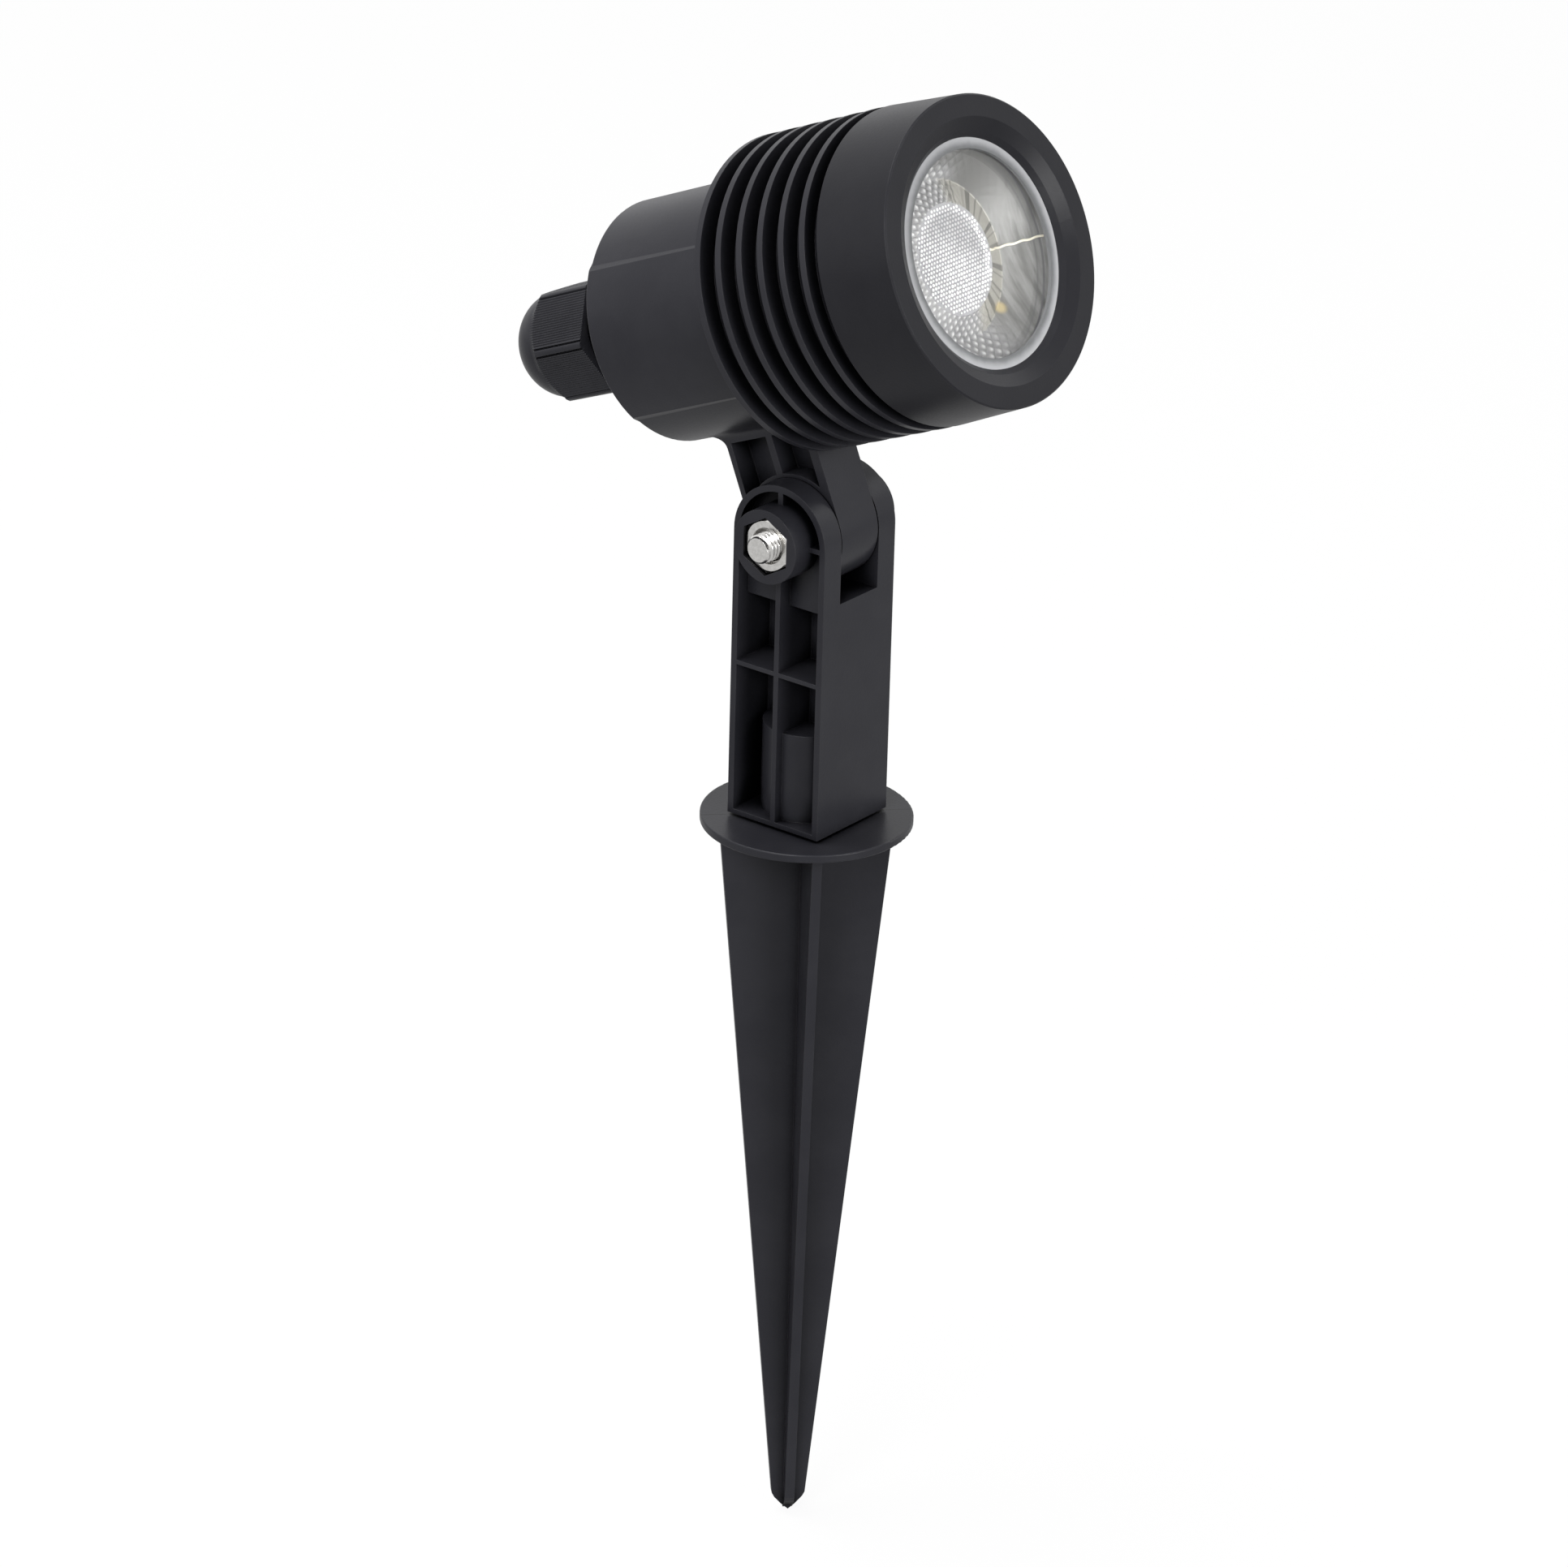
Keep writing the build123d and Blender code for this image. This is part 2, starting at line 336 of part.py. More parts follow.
def bracket_and_screws():
    back = HOLDER_END + BRACKET_THICK
    plate = block(-BRACKET_HALF_X, BRACKET_HALF_X, -BRACKET_HALF_Y, BRACKET_HALF_Y, HOLDER_END, back)
    plate &= rod(REAR_BORE_R - BRACKET_GAP, HOLDER_END, back)
    plate -= rod(BRACKET_HOLE_R, HOLDER_END - 1, back + 1, y=GLAND_DROP)
    holder_screws, bracket_screws = [], []
    for side in (-1, 1):
        for x in (HOLDER_SCREW_X, POST_X):
            plate -= rod(SCREW_R + PLAY, HOLDER_END - 1, back + 1, side * x)
        holder_screws.append(rod(SCREW_R, HOLDER_END - HOLDER_SCREW_GRIP, back, side * HOLDER_SCREW_X)
                             + rod(SCREW_HEAD_R, back, back + SCREW_HEAD, side * HOLDER_SCREW_X))
        bracket_screws.append(rod(SCREW_R, HOLDER_END, back + BRACKET_SCREW_GRIP, side * POST_X)
                              + rod(SCREW_HEAD_R, HOLDER_END - SCREW_HEAD, HOLDER_END, side * POST_X))
    return plate, Compound(holder_screws), Compound(bracket_screws)


def terminals():
    front, end = BLOCK_FRONT + BLOCK_WALL, BLOCK_END - BLOCK_WALL
    body = block(-BLOCK_HALF_X, BLOCK_HALF_X, BLOCK_TOP, BLOCK_BOTTOM, BLOCK_FRONT, BLOCK_END)
    barrels, screws = [], []
    for x in (-PIN_X, PIN_X):
        body -= rod(BARREL_R, front, end, x, BARREL_Y)
        body -= rod(BARREL_BORE_R + BLOCK_HOLE_PLAY, BLOCK_FRONT - 1, BLOCK_END + 1, x, BARREL_Y)
        barrel = rod(BARREL_R, front, end, x, BARREL_Y) - rod(BARREL_BORE_R, front - 1, end + 1, x, BARREL_Y)
        for z in TERMINAL_SCREW_DEPTHS:
            hole = Pos(x, BLOCK_BOTTOM, z) * Rot(90, 0, 0)
            body -= hole * Cylinder(TERMINAL_SCREW_R + PLAY, TERMINAL_HOLE, align=COIN)
            barrel -= hole * Cylinder(TERMINAL_SCREW_R + THREAD_GAP, BARREL_HOLE, align=COIN)
            screws.append(hole * Pos(0, 0, TERMINAL_SCREW_SUNK)
                          * Cylinder(TERMINAL_SCREW_R, TERMINAL_SCREW_LENGTH, align=COIN))
        barrels.append(barrel)
    return body, Compound(barrels), Compound(screws)


def lead(x):
    # up from the holder's contact, then back into the terminal
    path = FilletPolyline((x, -CONTACT_R - PLAY, LEAD_Z), (x, BARREL_Y, LEAD_Z), (x, BARREL_Y, LEAD_END),
                          radius=LEAD_BEND_R)
    return sweep(Plane(path @ 0, z_dir=path % 0) * Circle(LEAD_R), path)


# ---- cable gland, on its own axis a little below the lamp's
def gland_body():
    seat = REAR_END + SEAT_RING_THICK
    body = rod(GLAND_THREAD_R, GLAND_FRONT, seat) + rod(GLAND_NECK_R, seat, GLAND_NECK_END)
    body += hexagon(GLAND_FLATS, seat, seat + FLANGE_HEX, CAP_CORNER_ANGLE)
    body -= rod(GLAND_BORE_R, GLAND_FRONT - 1, GLAND_NECK_END)
    body -= rod(CLAW_BORE_R, CLAW_BORE_FRONT, GLAND_NECK_END + 1)
    ring = rod(SEAT_RING_R, REAR_END, seat) - rod(GLAND_THREAD_R + FIT, REAR_END - 1, seat + 1)
    nut_end = REAR_END - REAR_WALL
    locknut = hexagon(LOCKNUT_FLATS, nut_end - LOCKNUT_THICK, nut_end)
    locknut -= rod(GLAND_THREAD_R + THREAD_GAP, nut_end - LOCKNUT_THICK - 1, nut_end + 1)
    return body, ring, locknut


def gland_insert():
    inner, (slant_r, slant_z) = SEAL_R + FIT, CLAW_CHAMFER
    claw = turned((inner, CLAW_FRONT), (CLAW_R, CLAW_FRONT), (CLAW_R, CLAW_COLLAR),
                  (CLAW_COLLAR_R, CLAW_COLLAR), (CLAW_COLLAR_R, CLAW_END - slant_z),
                  (CLAW_COLLAR_R - slant_r, CLAW_END), (inner, CLAW_END))
    for i in range(CLAW_SLOTS):
        slot = block(0, CLAW_COLLAR_R + 1, -CLAW_SLOT_HALF, CLAW_SLOT_HALF, CLAW_END - CLAW_SLOT_LENGTH,
                     CLAW_END + 1)
        claw -= Rot(0, 0, i * 360 / CLAW_SLOTS) * slot
    seal = rod(SEAL_R, SEAL_FRONT, SEAL_END) - rod(SEAL_BORE_R, SEAL_FRONT - 1, SEAL_END + 1)
    return claw, seal


def cap_section(flats, depth):
    # the cap's hexagon with rounded corners, at this depth
    outline = Rot(0, 0, CAP_CORNER_ANGLE) * RegularPolygon(flats / sqrt(3), 6)
    return Pos(0, 0, depth) * fillet(outline.vertices(), CAP_CORNER_ROUND)


def gland_cap():
    grip = loft([cap_section(CAP_FRONT_FLATS, CAP_FRONT), cap_section(CAP_REAR_FLATS, CAP_GRIP_END)])
    grip &= turned((0, CAP_FRONT), (CAP_EDGE_R, CAP_FRONT), (CAP_EDGE_R, CAP_EDGE_START),
                   (CAP_DOME_R, CAP_GRIP_END), (0, CAP_GRIP_END))
    across = sqrt(1 - (CAP_LIP_R / CAP_DOME_R) ** 2)
    end = CAP_GRIP_END + CAP_DOME_HEIGHT * across
    shoulder = (CAP_DOME_R * cos(CAP_SHOULDER), CAP_GRIP_END + CAP_DOME_HEIGHT * sin(CAP_SHOULDER))
    dome = make_face(Plane.XZ * (
        Polyline((CAP_LIP_R, end), (0, end), (0, CAP_GRIP_END), (CAP_DOME_R, CAP_GRIP_END))
        + ThreePointArc((CAP_DOME_R, CAP_GRIP_END), shoulder, (CAP_LIP_R, end))))
    bore = GLAND_NECK_R + TURN_CLEARANCE
    hollow = turned((0, CAP_FRONT - 1), (bore, CAP_FRONT - 1), (bore, CAP_BORE_END),
                    (CAP_HOLE_R, CAP_BORE_END + CAP_CONE), (CAP_HOLE_R, end + 1), (0, end + 1))
    return grip + revolve(dome, Axis.Z) - hollow


pieces["ground_spike"] = ground_spike()
pieces["stem"] = stem()
pieces["pivot_bolt"], pieces["pivot_washer"], pieces["pivot_nut"] = pivot_fastener()

head = {"lamp_housing": lamp_housing(), "front_bezel": front_bezel()}
head["front_glass"], head["glass_gasket"], head["bezel_seal_ring"] = front_glazing()
head["lamp_body"], head["lamp_optic"] = lamp_body(), lamp_optic()
head["lamp_led_chip"], head["lamp_led_board"], head["lamp_driver_board"], head["lamp_driver_parts"] = (
    lamp_electronics())
head["lamp_base"], head["lamp_pins"] = lamp_base()
head["lamp_holder"], head["holder_contacts"] = lamp_holder()
head["holder_bracket"], head["holder_screws"], head["bracket_screws"] = bracket_and_screws()
head["terminal_block"], head["terminal_barrels"], head["terminal_screws"] = terminals()
head["live_lead"], head["neutral_lead"] = lead(PIN_X), lead(-PIN_X)

gland = {}
gland["gland_body"], gland["gland_seat_ring"], gland["gland_locknut"] = gland_body()
gland["gland_claw"], gland["gland_seal"] = gland_insert()
gland["gland_cap"] = gland_cap()
head.update({name: Pos(0, GLAND_DROP, 0) * piece for name, piece in gland.items()})
pieces.update({name: head_frame * piece for name, piece in head.items()})

os.makedirs("parts", exist_ok=True)
for name, piece in pieces.items():
    export_step(piece, f"parts/{name}.step")

lead_length = pieces["live_lead"].volume / (pi * LEAD_R ** 2)
print(len(pieces), "nodes; lead length", round(lead_length, 2), "mm; beam tilt", HEAD_TILT, "degrees")
seal_mid = head_frame * Pos(0, GLAND_DROP, (SEAL_FRONT + SEAL_END) / 2)
print("seal middle", seal_mid.position, "bezel centre", (head_frame * Pos(0, 0, 0)).position)
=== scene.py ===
import json
import math
import bmesh
import bpy
from mathutils import Matrix, Vector


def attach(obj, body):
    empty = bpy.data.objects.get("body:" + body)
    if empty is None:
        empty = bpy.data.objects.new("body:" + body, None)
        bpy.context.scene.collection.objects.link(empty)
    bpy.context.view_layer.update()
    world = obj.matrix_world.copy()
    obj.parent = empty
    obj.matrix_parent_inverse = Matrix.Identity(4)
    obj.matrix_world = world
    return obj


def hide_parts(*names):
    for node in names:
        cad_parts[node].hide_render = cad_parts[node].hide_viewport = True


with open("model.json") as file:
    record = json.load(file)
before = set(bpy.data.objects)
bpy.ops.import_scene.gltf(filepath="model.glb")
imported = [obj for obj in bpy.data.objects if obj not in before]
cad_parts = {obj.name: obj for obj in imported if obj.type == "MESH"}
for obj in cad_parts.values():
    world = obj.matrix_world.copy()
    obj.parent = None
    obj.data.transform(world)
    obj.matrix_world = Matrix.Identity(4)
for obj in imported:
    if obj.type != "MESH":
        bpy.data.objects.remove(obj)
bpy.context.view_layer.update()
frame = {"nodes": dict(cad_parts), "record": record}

nodes = frame["nodes"]
mm = 0.001
print("frame loaded:", len(nodes), "nodes")


# wiring: one class for shader and geometry node maths

class Wire:
    # a socket whose + - * / and comparisons add Math nodes to its tree
    def __init__(self, tree, socket=None):
        self.tree, self.socket = tree, socket

    def node(self, kind, settings=None, outlet=0, **values):
        # settings first, then socket values or links, by name with _ for a space or by number as s0, s1
        made = self.tree.nodes.new(kind)
        for name, value in (settings or {}).items():
            setattr(made, name, value)
        for name, value in values.items():
            key = int(name[1:]) if name[1:].isdigit() else name.replace("_", " ")
            socket = made.inputs[key]
            if isinstance(value, Wire):
                self.tree.links.new(value.socket, socket)
            else:
                socket.default_value = value
        return Wire(self.tree, made.outputs[outlet])

    def maths(self, operation, *operands):
        return self.node("ShaderNodeMath", {"operation": operation},
                         **{f"s{i}": value for i, value in enumerate(operands)})

    def of(self, operation, *others):
        return self.maths(operation, self, *others)

    def __add__(self, other):
        return self.maths("ADD", self, other)

    def __sub__(self, other):
        return self.maths("SUBTRACT", self, other)

    def __mul__(self, other):
        return self.maths("MULTIPLY", self, other)

    def __truediv__(self, other):
        return self.maths("DIVIDE", self, other)

    def __rsub__(self, other):
        return self.maths("SUBTRACT", other, self)

    def __rtruediv__(self, other):
        return self.maths("DIVIDE", other, self)

    def __lt__(self, other):
        return self.maths("LESS_THAN", self, other)

    def __gt__(self, other):
        return self.maths("GREATER_THAN", self, other)

    __radd__ = __add__
    __rmul__ = __mul__

    def clamped(self):
        return self.node("ShaderNodeClamp", s0=self)

    def between(self, low, high, start=0.0, end=1.0):
        # smooth step from start to end as the value goes from low to high
        return self.node("ShaderNodeMapRange", {"interpolation_type": "SMOOTHSTEP"}, s0=self,
                         s1=low, s2=high, s3=start, s4=end)

    def band(self, middle, half, soft):
        # 1 near the middle value, fading to 0 beyond half on both sides
        return (self - middle).of("ABSOLUTE").between(half, half + soft, 1.0, 0.0)

    def blend(self, first, second):
        # colour mix, self is the factor
        return self.node("ShaderNodeMix", {"data_type": "RGBA"}, outlet=2, s0=self, s6=first, s7=second)

    def parts(self, x, y, z):
        return self.node("ShaderNodeCombineXYZ", s0=x, s1=y, s2=z)

    def split(self):
        return [self.node("ShaderNodeSeparateXYZ", outlet=i, s0=self) for i in range(3)]


def grey(value):
    return (value, value, value, 1.0)


def noise(wire, place, scale, detail=3.0, roughness=0.6):
    return wire.node("ShaderNodeTexNoise", Vector=place, Scale=scale, Detail=detail,
                     Roughness=roughness)


rayOutlet = {"camera": 0, "shadow": 1, "glossy": 3, "through": 6}   # of the Light Path node


def rays(wire, *kinds):
    return [wire.node("ShaderNodeLightPath", outlet=rayOutlet[kind]) for kind in kinds]


def newMaterial(name):
    material = bpy.data.materials.new(name)
    material.use_nodes = True
    tree = material.node_tree
    tree.nodes.clear()
    wire = Wire(tree)
    place = wire.node("ShaderNodeTexCoord", outlet=3)
    return material, wire, place


def finishMaterial(wire, shader):
    out = wire.tree.nodes.new("ShaderNodeOutputMaterial")
    wire.tree.links.new(shader.socket, out.inputs["Surface"])


# black moulded plastic

mouldedLook = {
    "body": (0.0200, 0.0200, 0.0250, 1.0), "pale": (0.0257, 0.0257, 0.0310, 1.0),
    # the darkest colour is painted shade for grooves and pockets, and also colours the seam's line
    "deep": (0.0010, 0.0010, 0.0014, 1.0), "edge": (0.050, 0.051, 0.057, 1.0),
    "dust": (0.50, 0.50, 0.48, 1.0), "mottle": (0.3, 0.75),
    # painted shade in grooves and pockets: reach in metres, and how open to the light they are where
    # they turn dark
    "paintedShadeReach": 0.006, "paintedShadeFrom": (0.3, 0.7), "paintedShadeShineFrom": (0.25, 0.6), "paintedShadeShine": 0.25,
    # the lighter edges are partly rubbed pale by use and partly a painted highlight
    "edgeRadius": 0.00018, "wearAndHighlight": 0.8, "wearAndHighlightTurn": (0.01, 0.16), "wearAndHighlightCloud": (0.2, 0.6),
    "roughness": 0.34, "cloudRough": 0.10, "grainRough": 0.08, "dustRough": 0.3, "specular": 0.20,
    "cloudScale": 60.0, "grainScale": 2200.0, "grainHeight": 0.035, "grainStrength": 0.35,
    "speckScale": 210.0, "speckSize": 0.03, "speckShare": 0.01,
}


def mouldedPlastic(name, look, changes=None):
    look = {**look, **(changes or {})}
    material, wire, place = newMaterial(name)
    cloud = noise(wire, place, look["cloudScale"], detail=4.0)
    grain = noise(wire, place, look["grainScale"], detail=1.0, roughness=0.4)
    # rounded edges; how far the rounding turns the surface marks the lighter edges, partly rubbed pale
    # by use and partly a painted highlight
    rounded = wire.node("ShaderNodeBevel", {"samples": 4}, Radius=look["edgeRadius"])
    flat = wire.node("ShaderNodeNewGeometry", outlet=1)
    turn = wire.node("ShaderNodeVectorMath", {"operation": "DOT_PRODUCT"}, outlet=1,
                     s0=rounded, s1=flat)
    edge = (1.0 - turn).between(*look["wearAndHighlightTurn"]) * cloud.between(*look["wearAndHighlightCloud"])
    # sparse specks of dust
    cell = wire.node("ShaderNodeTexVoronoi", Vector=place, Scale=look["speckScale"])
    pick = wire.node("ShaderNodeTexVoronoi", outlet=1, Vector=place, Scale=look["speckScale"])
    chance = wire.node("ShaderNodeSeparateColor", s0=pick)
    speck = (cell < look["speckSize"]) * (chance > 1.0 - look["speckShare"])
    # painted shade: deep grooves and pockets are painted darker, and their shine is painted out
    openness = wire.node("ShaderNodeAmbientOcclusion", {"samples": 6}, outlet=1,
                         Distance=look["paintedShadeReach"])
    mottled = cloud.between(*look["mottle"]).blend(look["body"], look["pale"])
    mottled = openness.between(*look["paintedShadeFrom"]).blend(look["deep"], mottled)
    # lighter edges: partly rubbed pale by use, partly a painted highlight
    wornAndHighlit = (edge * look["wearAndHighlight"]).blend(mottled, look["edge"])
    if "seam" in look:
        # the mould's parting line runs across the flange on one diagonal, in line with two fins
        x, y, z = place.split()
        line = (x + y).band(0.0, look["seam"], look["seam"]) * (z > look["seamAbove"])
        wornAndHighlit = line.blend(wornAndHighlit, look["deep"])
    colour = speck.blend(wornAndHighlit, look["dust"])
    roughness = (look["roughness"] + (cloud - 0.5) * look["cloudRough"]
                 + (grain - 0.5) * look["grainRough"] + speck * look["dustRough"])
    bump = wire.node("ShaderNodeBump", Height=grain * look["grainHeight"],
                     Strength=look["grainStrength"], Distance=mm, Normal=rounded)
    shell = wire.node("ShaderNodeBsdfPrincipled", **{
        "Base Color": colour, "Roughness": roughness, "Normal": bump,
        "Specular IOR Level": look["specular"]})
    # painted shade: where it is most closed in, a plain dark diffuse takes the place of the shiny
    # surface
    paintedShadePocket = wire.node("ShaderNodeBsdfDiffuse", Color=look["deep"])
    shine = openness.between(*look["paintedShadeShineFrom"], look["paintedShadeShine"], 1.0)
    finishMaterial(wire, wire.node("ShaderNodeMixShader", s0=shine, s1=paintedShadePocket, s2=shell))
    return material


# other finishes

stainlessLook = {
    "pale": (0.80, 0.79, 0.77, 1.0), "dull": (0.68, 0.67, 0.65, 1.0), "scratch": (0.3, 0.7),
    # the groove colour is painted shade in the thread valleys
    "groove": (0.10, 0.095, 0.09, 1.0), "threadShadeReach": 0.0007, "threadShadeFrom": (0.45, 0.9),
    "roughness": 0.2, "scratchRough": 0.1, "scratchScale": 1500.0, "scratchHeight": 0.01,
    "scratchStrength": 0.3, "edgeRadius": 0.0001,
}
rubberLook = {"body": (0.012, 0.012, 0.012, 1.0), "pale": (0.024, 0.024, 0.024, 1.0),
              "cloud": (0.3, 0.75), "cloudScale": 500.0, "roughness": 0.7, "cloudRough": 0.15}
siliconeLook = {"inner": (0.17, 0.175, 0.18, 1.0), "outer": (0.47, 0.475, 0.49, 1.0),
                "innerR": 20.0, "outerR": 21.8, "waver": 0.8,   # mm
                "cloudScale": 400.0, "roughness": 0.5, "cloudRough": 0.15}
plainPattern = {"cloud": (0.3, 0.7), "height": 0.02, "strength": 0.25, "cloudRough": 0.12}
plainLooks = {
    # slot: (colour, lighter colour, roughness, metallic, pattern scale)
    "lamp_silver": ((0.62, 0.62, 0.61), (0.80, 0.80, 0.79), 0.35, 1.0, 400.0),
    "board_white": ((0.78, 0.79, 0.77), (0.86, 0.87, 0.85), 0.40, 0.0, 700.0),
    "board_green": ((0.03, 0.16, 0.06), (0.05, 0.22, 0.09), 0.35, 0.0, 700.0),
    "component_dark": ((0.02, 0.02, 0.025), (0.05, 0.05, 0.06), 0.40, 0.0, 500.0),
    "lamp_white": ((0.76, 0.75, 0.72), (0.84, 0.83, 0.80), 0.30, 0.0, 250.0),
    "nickel": ((0.62, 0.60, 0.56), (0.78, 0.76, 0.72), 0.25, 1.0, 900.0),
    "holder_ceramic": ((0.70, 0.67, 0.60), (0.82, 0.79, 0.72), 0.65, 0.0, 900.0),
    "contact_brass": ((0.60, 0.42, 0.14), (0.78, 0.58, 0.24), 0.30, 1.0, 900.0),
    "zinc_steel": ((0.52, 0.53, 0.54), (0.70, 0.71, 0.72), 0.38, 1.0, 300.0),
    "block_white": ((0.74, 0.72, 0.66), (0.82, 0.80, 0.75), 0.50, 0.0, 500.0),
    "lead_brown": ((0.10, 0.035, 0.015), (0.15, 0.055, 0.025), 0.55, 0.0, 500.0),
    "lead_blue": ((0.015, 0.05, 0.30), (0.03, 0.08, 0.38), 0.55, 0.0, 500.0),
    "phosphor": ((0.85, 0.62, 0.08), (0.92, 0.74, 0.16), 0.55, 0.0, 1500.0),
}


def stainlessSteel(look):
    material, wire, place = newMaterial("stainless")
    streak = noise(wire, place, look["scratchScale"])
    rounded = wire.node("ShaderNodeBevel", {"samples": 4}, Radius=look["edgeRadius"])
    colour = streak.between(*look["scratch"]).blend(look["dull"], look["pale"])
    # painted shade: the thread valleys are painted dark
    openness = wire.node("ShaderNodeAmbientOcclusion", {"samples": 6, "only_local": True}, outlet=1,
                         Distance=look["threadShadeReach"])
    colour = openness.between(*look["threadShadeFrom"]).blend(look["groove"], colour)
    bump = wire.node("ShaderNodeBump", Height=streak * look["scratchHeight"],
                     Strength=look["scratchStrength"], Distance=mm, Normal=rounded)
    finishMaterial(wire, wire.node("ShaderNodeBsdfPrincipled", **{
        "Base Color": colour, "Metallic": 1.0, "Normal": bump,
        "Roughness": look["roughness"] + (streak - 0.5) * look["scratchRough"]}))
    return material


def softRubber(name, look):
    material, wire, place = newMaterial(name)
    cloud = noise(wire, place, look["cloudScale"])
    finishMaterial(wire, wire.node("ShaderNodeBsdfPrincipled", **{
        "Base Color": cloud.between(*look["cloud"]).blend(look["body"], look["pale"]),
        "Roughness": look["roughness"] + (cloud - 0.5) * look["cloudRough"]}))
    return material


def softSilicone(look):
    # the gasket: pale where the light gets in at its outer edge, darker inwards
    material, wire, place = newMaterial("silicone_grey")
    cloud = noise(wire, place, look["cloudScale"])
    x, y = inHeadFrame(wire, place).split()[:2]
    radius = (x * x + y * y).of("SQRT") / mm + (cloud - 0.5) * look["waver"]
    outwards = radius.between(look["innerR"], look["outerR"])
    finishMaterial(wire, wire.node("ShaderNodeBsdfPrincipled", **{
        "Base Color": outwards.blend(look["inner"], look["outer"]),
        "Roughness": look["roughness"] + (cloud - 0.5) * look["cloudRough"]}))
    return material


def plainFinish(name, values):
    colour, pale, roughness, metallic, scale = values
    material, wire, place = newMaterial(name)
    cloud = noise(wire, place, scale, roughness=0.55)
    bump = wire.node("ShaderNodeBump", Height=cloud * plainPattern["height"],
                     Strength=plainPattern["strength"], Distance=mm)
    finishMaterial(wire, wire.node("ShaderNodeBsdfPrincipled", **{
        "Base Color": cloud.between(*plainPattern["cloud"]).blend(colour + (1.0,), pale + (1.0,)),
        "Roughness": roughness + (cloud - 0.5) * plainPattern["cloudRough"],
        "Metallic": metallic, "Normal": bump}))
    return material


glassLook = {"tint": (0.985, 0.985, 0.98, 1.0), "ior": 1.5, "roughness": 0.02, "hazeScale": 120.0,
             "hazeRough": 0.02}


def clearGlass(look):
    material, wire, place = newMaterial("clear_glass")
    haze = noise(wire, place, look["hazeScale"], detail=2.0, roughness=0.5)
    pane = wire.node("ShaderNodeBsdfPrincipled", **{
        "Base Color": look["tint"], "IOR": look["ior"], "Transmission Weight": 1.0,
        "Roughness": look["roughness"] + (haze - 0.5).clamped() * look["hazeRough"]})
    # shadow rays pass straight through
    shadow, = rays(wire, "shadow")
    through = wire.node("ShaderNodeBsdfTransparent", Color=look["tint"])
    finishMaterial(wire, wire.node("ShaderNodeMixShader", s0=shadow, s1=pane, s2=through))
    return material


# the head's own frame: z from the bezel's face towards the gland, x kept, y down, in mm

headPose = {"pivot": 62.6, "tilt": 22.8, "reach": 62.0, "up": 44.85, "glandDrop": 0.15}


def headPlace(drop=0.0):
    place = Matrix.Translation((0.0, 0.0, headPose["pivot"])) @ Matrix.Rotation(
        -math.radians(headPose["tilt"]), 4, "X")
    place = place @ Matrix.Translation((0.0, -headPose["reach"], headPose["up"])) @ Matrix.Rotation(
        -math.pi / 2, 4, "X")
    return Matrix.Scale(mm, 4) @ place @ Matrix.Translation((0.0, drop, 0.0))


def inHeadFrame(wire, place):
    # a point of the object as x, y and depth in the head, in metres
    turned = headPlace()
    return wire.node("ShaderNodeMapping", {"vector_type": "TEXTURE"}, Vector=place,
                     Location=turned.to_translation(), Rotation=turned.to_euler())


# optic of the lamp

opticLook = {
    # colours
    # crest is the colour of the painted highlights, and streak also serves as the painted shade of the
    # cone's upper part
    "hollow": (0.165, 0.165, 0.17, 1.0), "crest": (0.80, 0.80, 0.80, 1.0),
    "even": (0.24, 0.24, 0.235, 1.0), "streak": (0.07, 0.07, 0.065, 1.0),
    "cream": (0.32, 0.31, 0.275, 1.0), "beige": (0.105, 0.102, 0.087, 1.0),
    "discGap": (0.33, 0.33, 0.345, 1.0), "haze": (0.205, 0.205, 0.218, 1.0),
    # spark is the colour of the painted highlights and glints on the domes
    "spark": (1.0, 1.0, 1.0, 1.0), "dark": (0.08, 0.08, 0.09, 1.0), "glimpse": (0.50, 0.39, 0.16, 1.0),
    "roughness": 0.45, "cloudRough": 0.08, "specular": 0.5, "coat": 0.12, "coatRough": 0.15,
    # places, in mm
    "discR": 10.8, "ringR": 15.6, "arcR": 22.7, "arcHalf": 0.12, "arcGap": 1.1, "innerArcHalf": 0.08,
    "arcSoft": 0.15, "sparkR": 9.6, "sparkHalf": 0.7, "sparkSoft": 0.3, "upperR": (16.5, 19.0),
    "glimpsePlace": (10.5, 12.0), "glimpseR": (0.5, 1.6), "hazeR": (8.6, 9.8),
    "hazeAcross": (-3.0, 5.0),
    # places round the axis, as parts of the radius to the right, or down
    "left": (-0.9, -0.2), "right": (0.25, 0.6), "upper": (-0.8, 0.1), "upperSide": (-0.5, 0.0),
    "ringSide": (0.1, 0.4), "sparkSide": (0.75, 0.9),
    # patterns and their shares
    "cloudScale": 230.0, "cloud": (0.3, 0.7), "cloudShare": 0.12, "peakPower": 3.5, "peakShare": 0.8,
    "leftShare": 0.22, "upperShare": 0.85, "arcShare": 0.8, "innerArcShare": 0.5, "glimpseShare": 0.7,
    "streakRun": (0.45, 0.06), "streaks": (0.35, 0.7), "lengthTurn": 7.0, "lengths": (0.42, 0.5),
    "slant": (0.5, -0.8), "hazeShare": 0.9, "hazeCalm": 0.6, "domeTop": (0.35, 0.9),
    "domeSide": (0.1, 0.45),
}


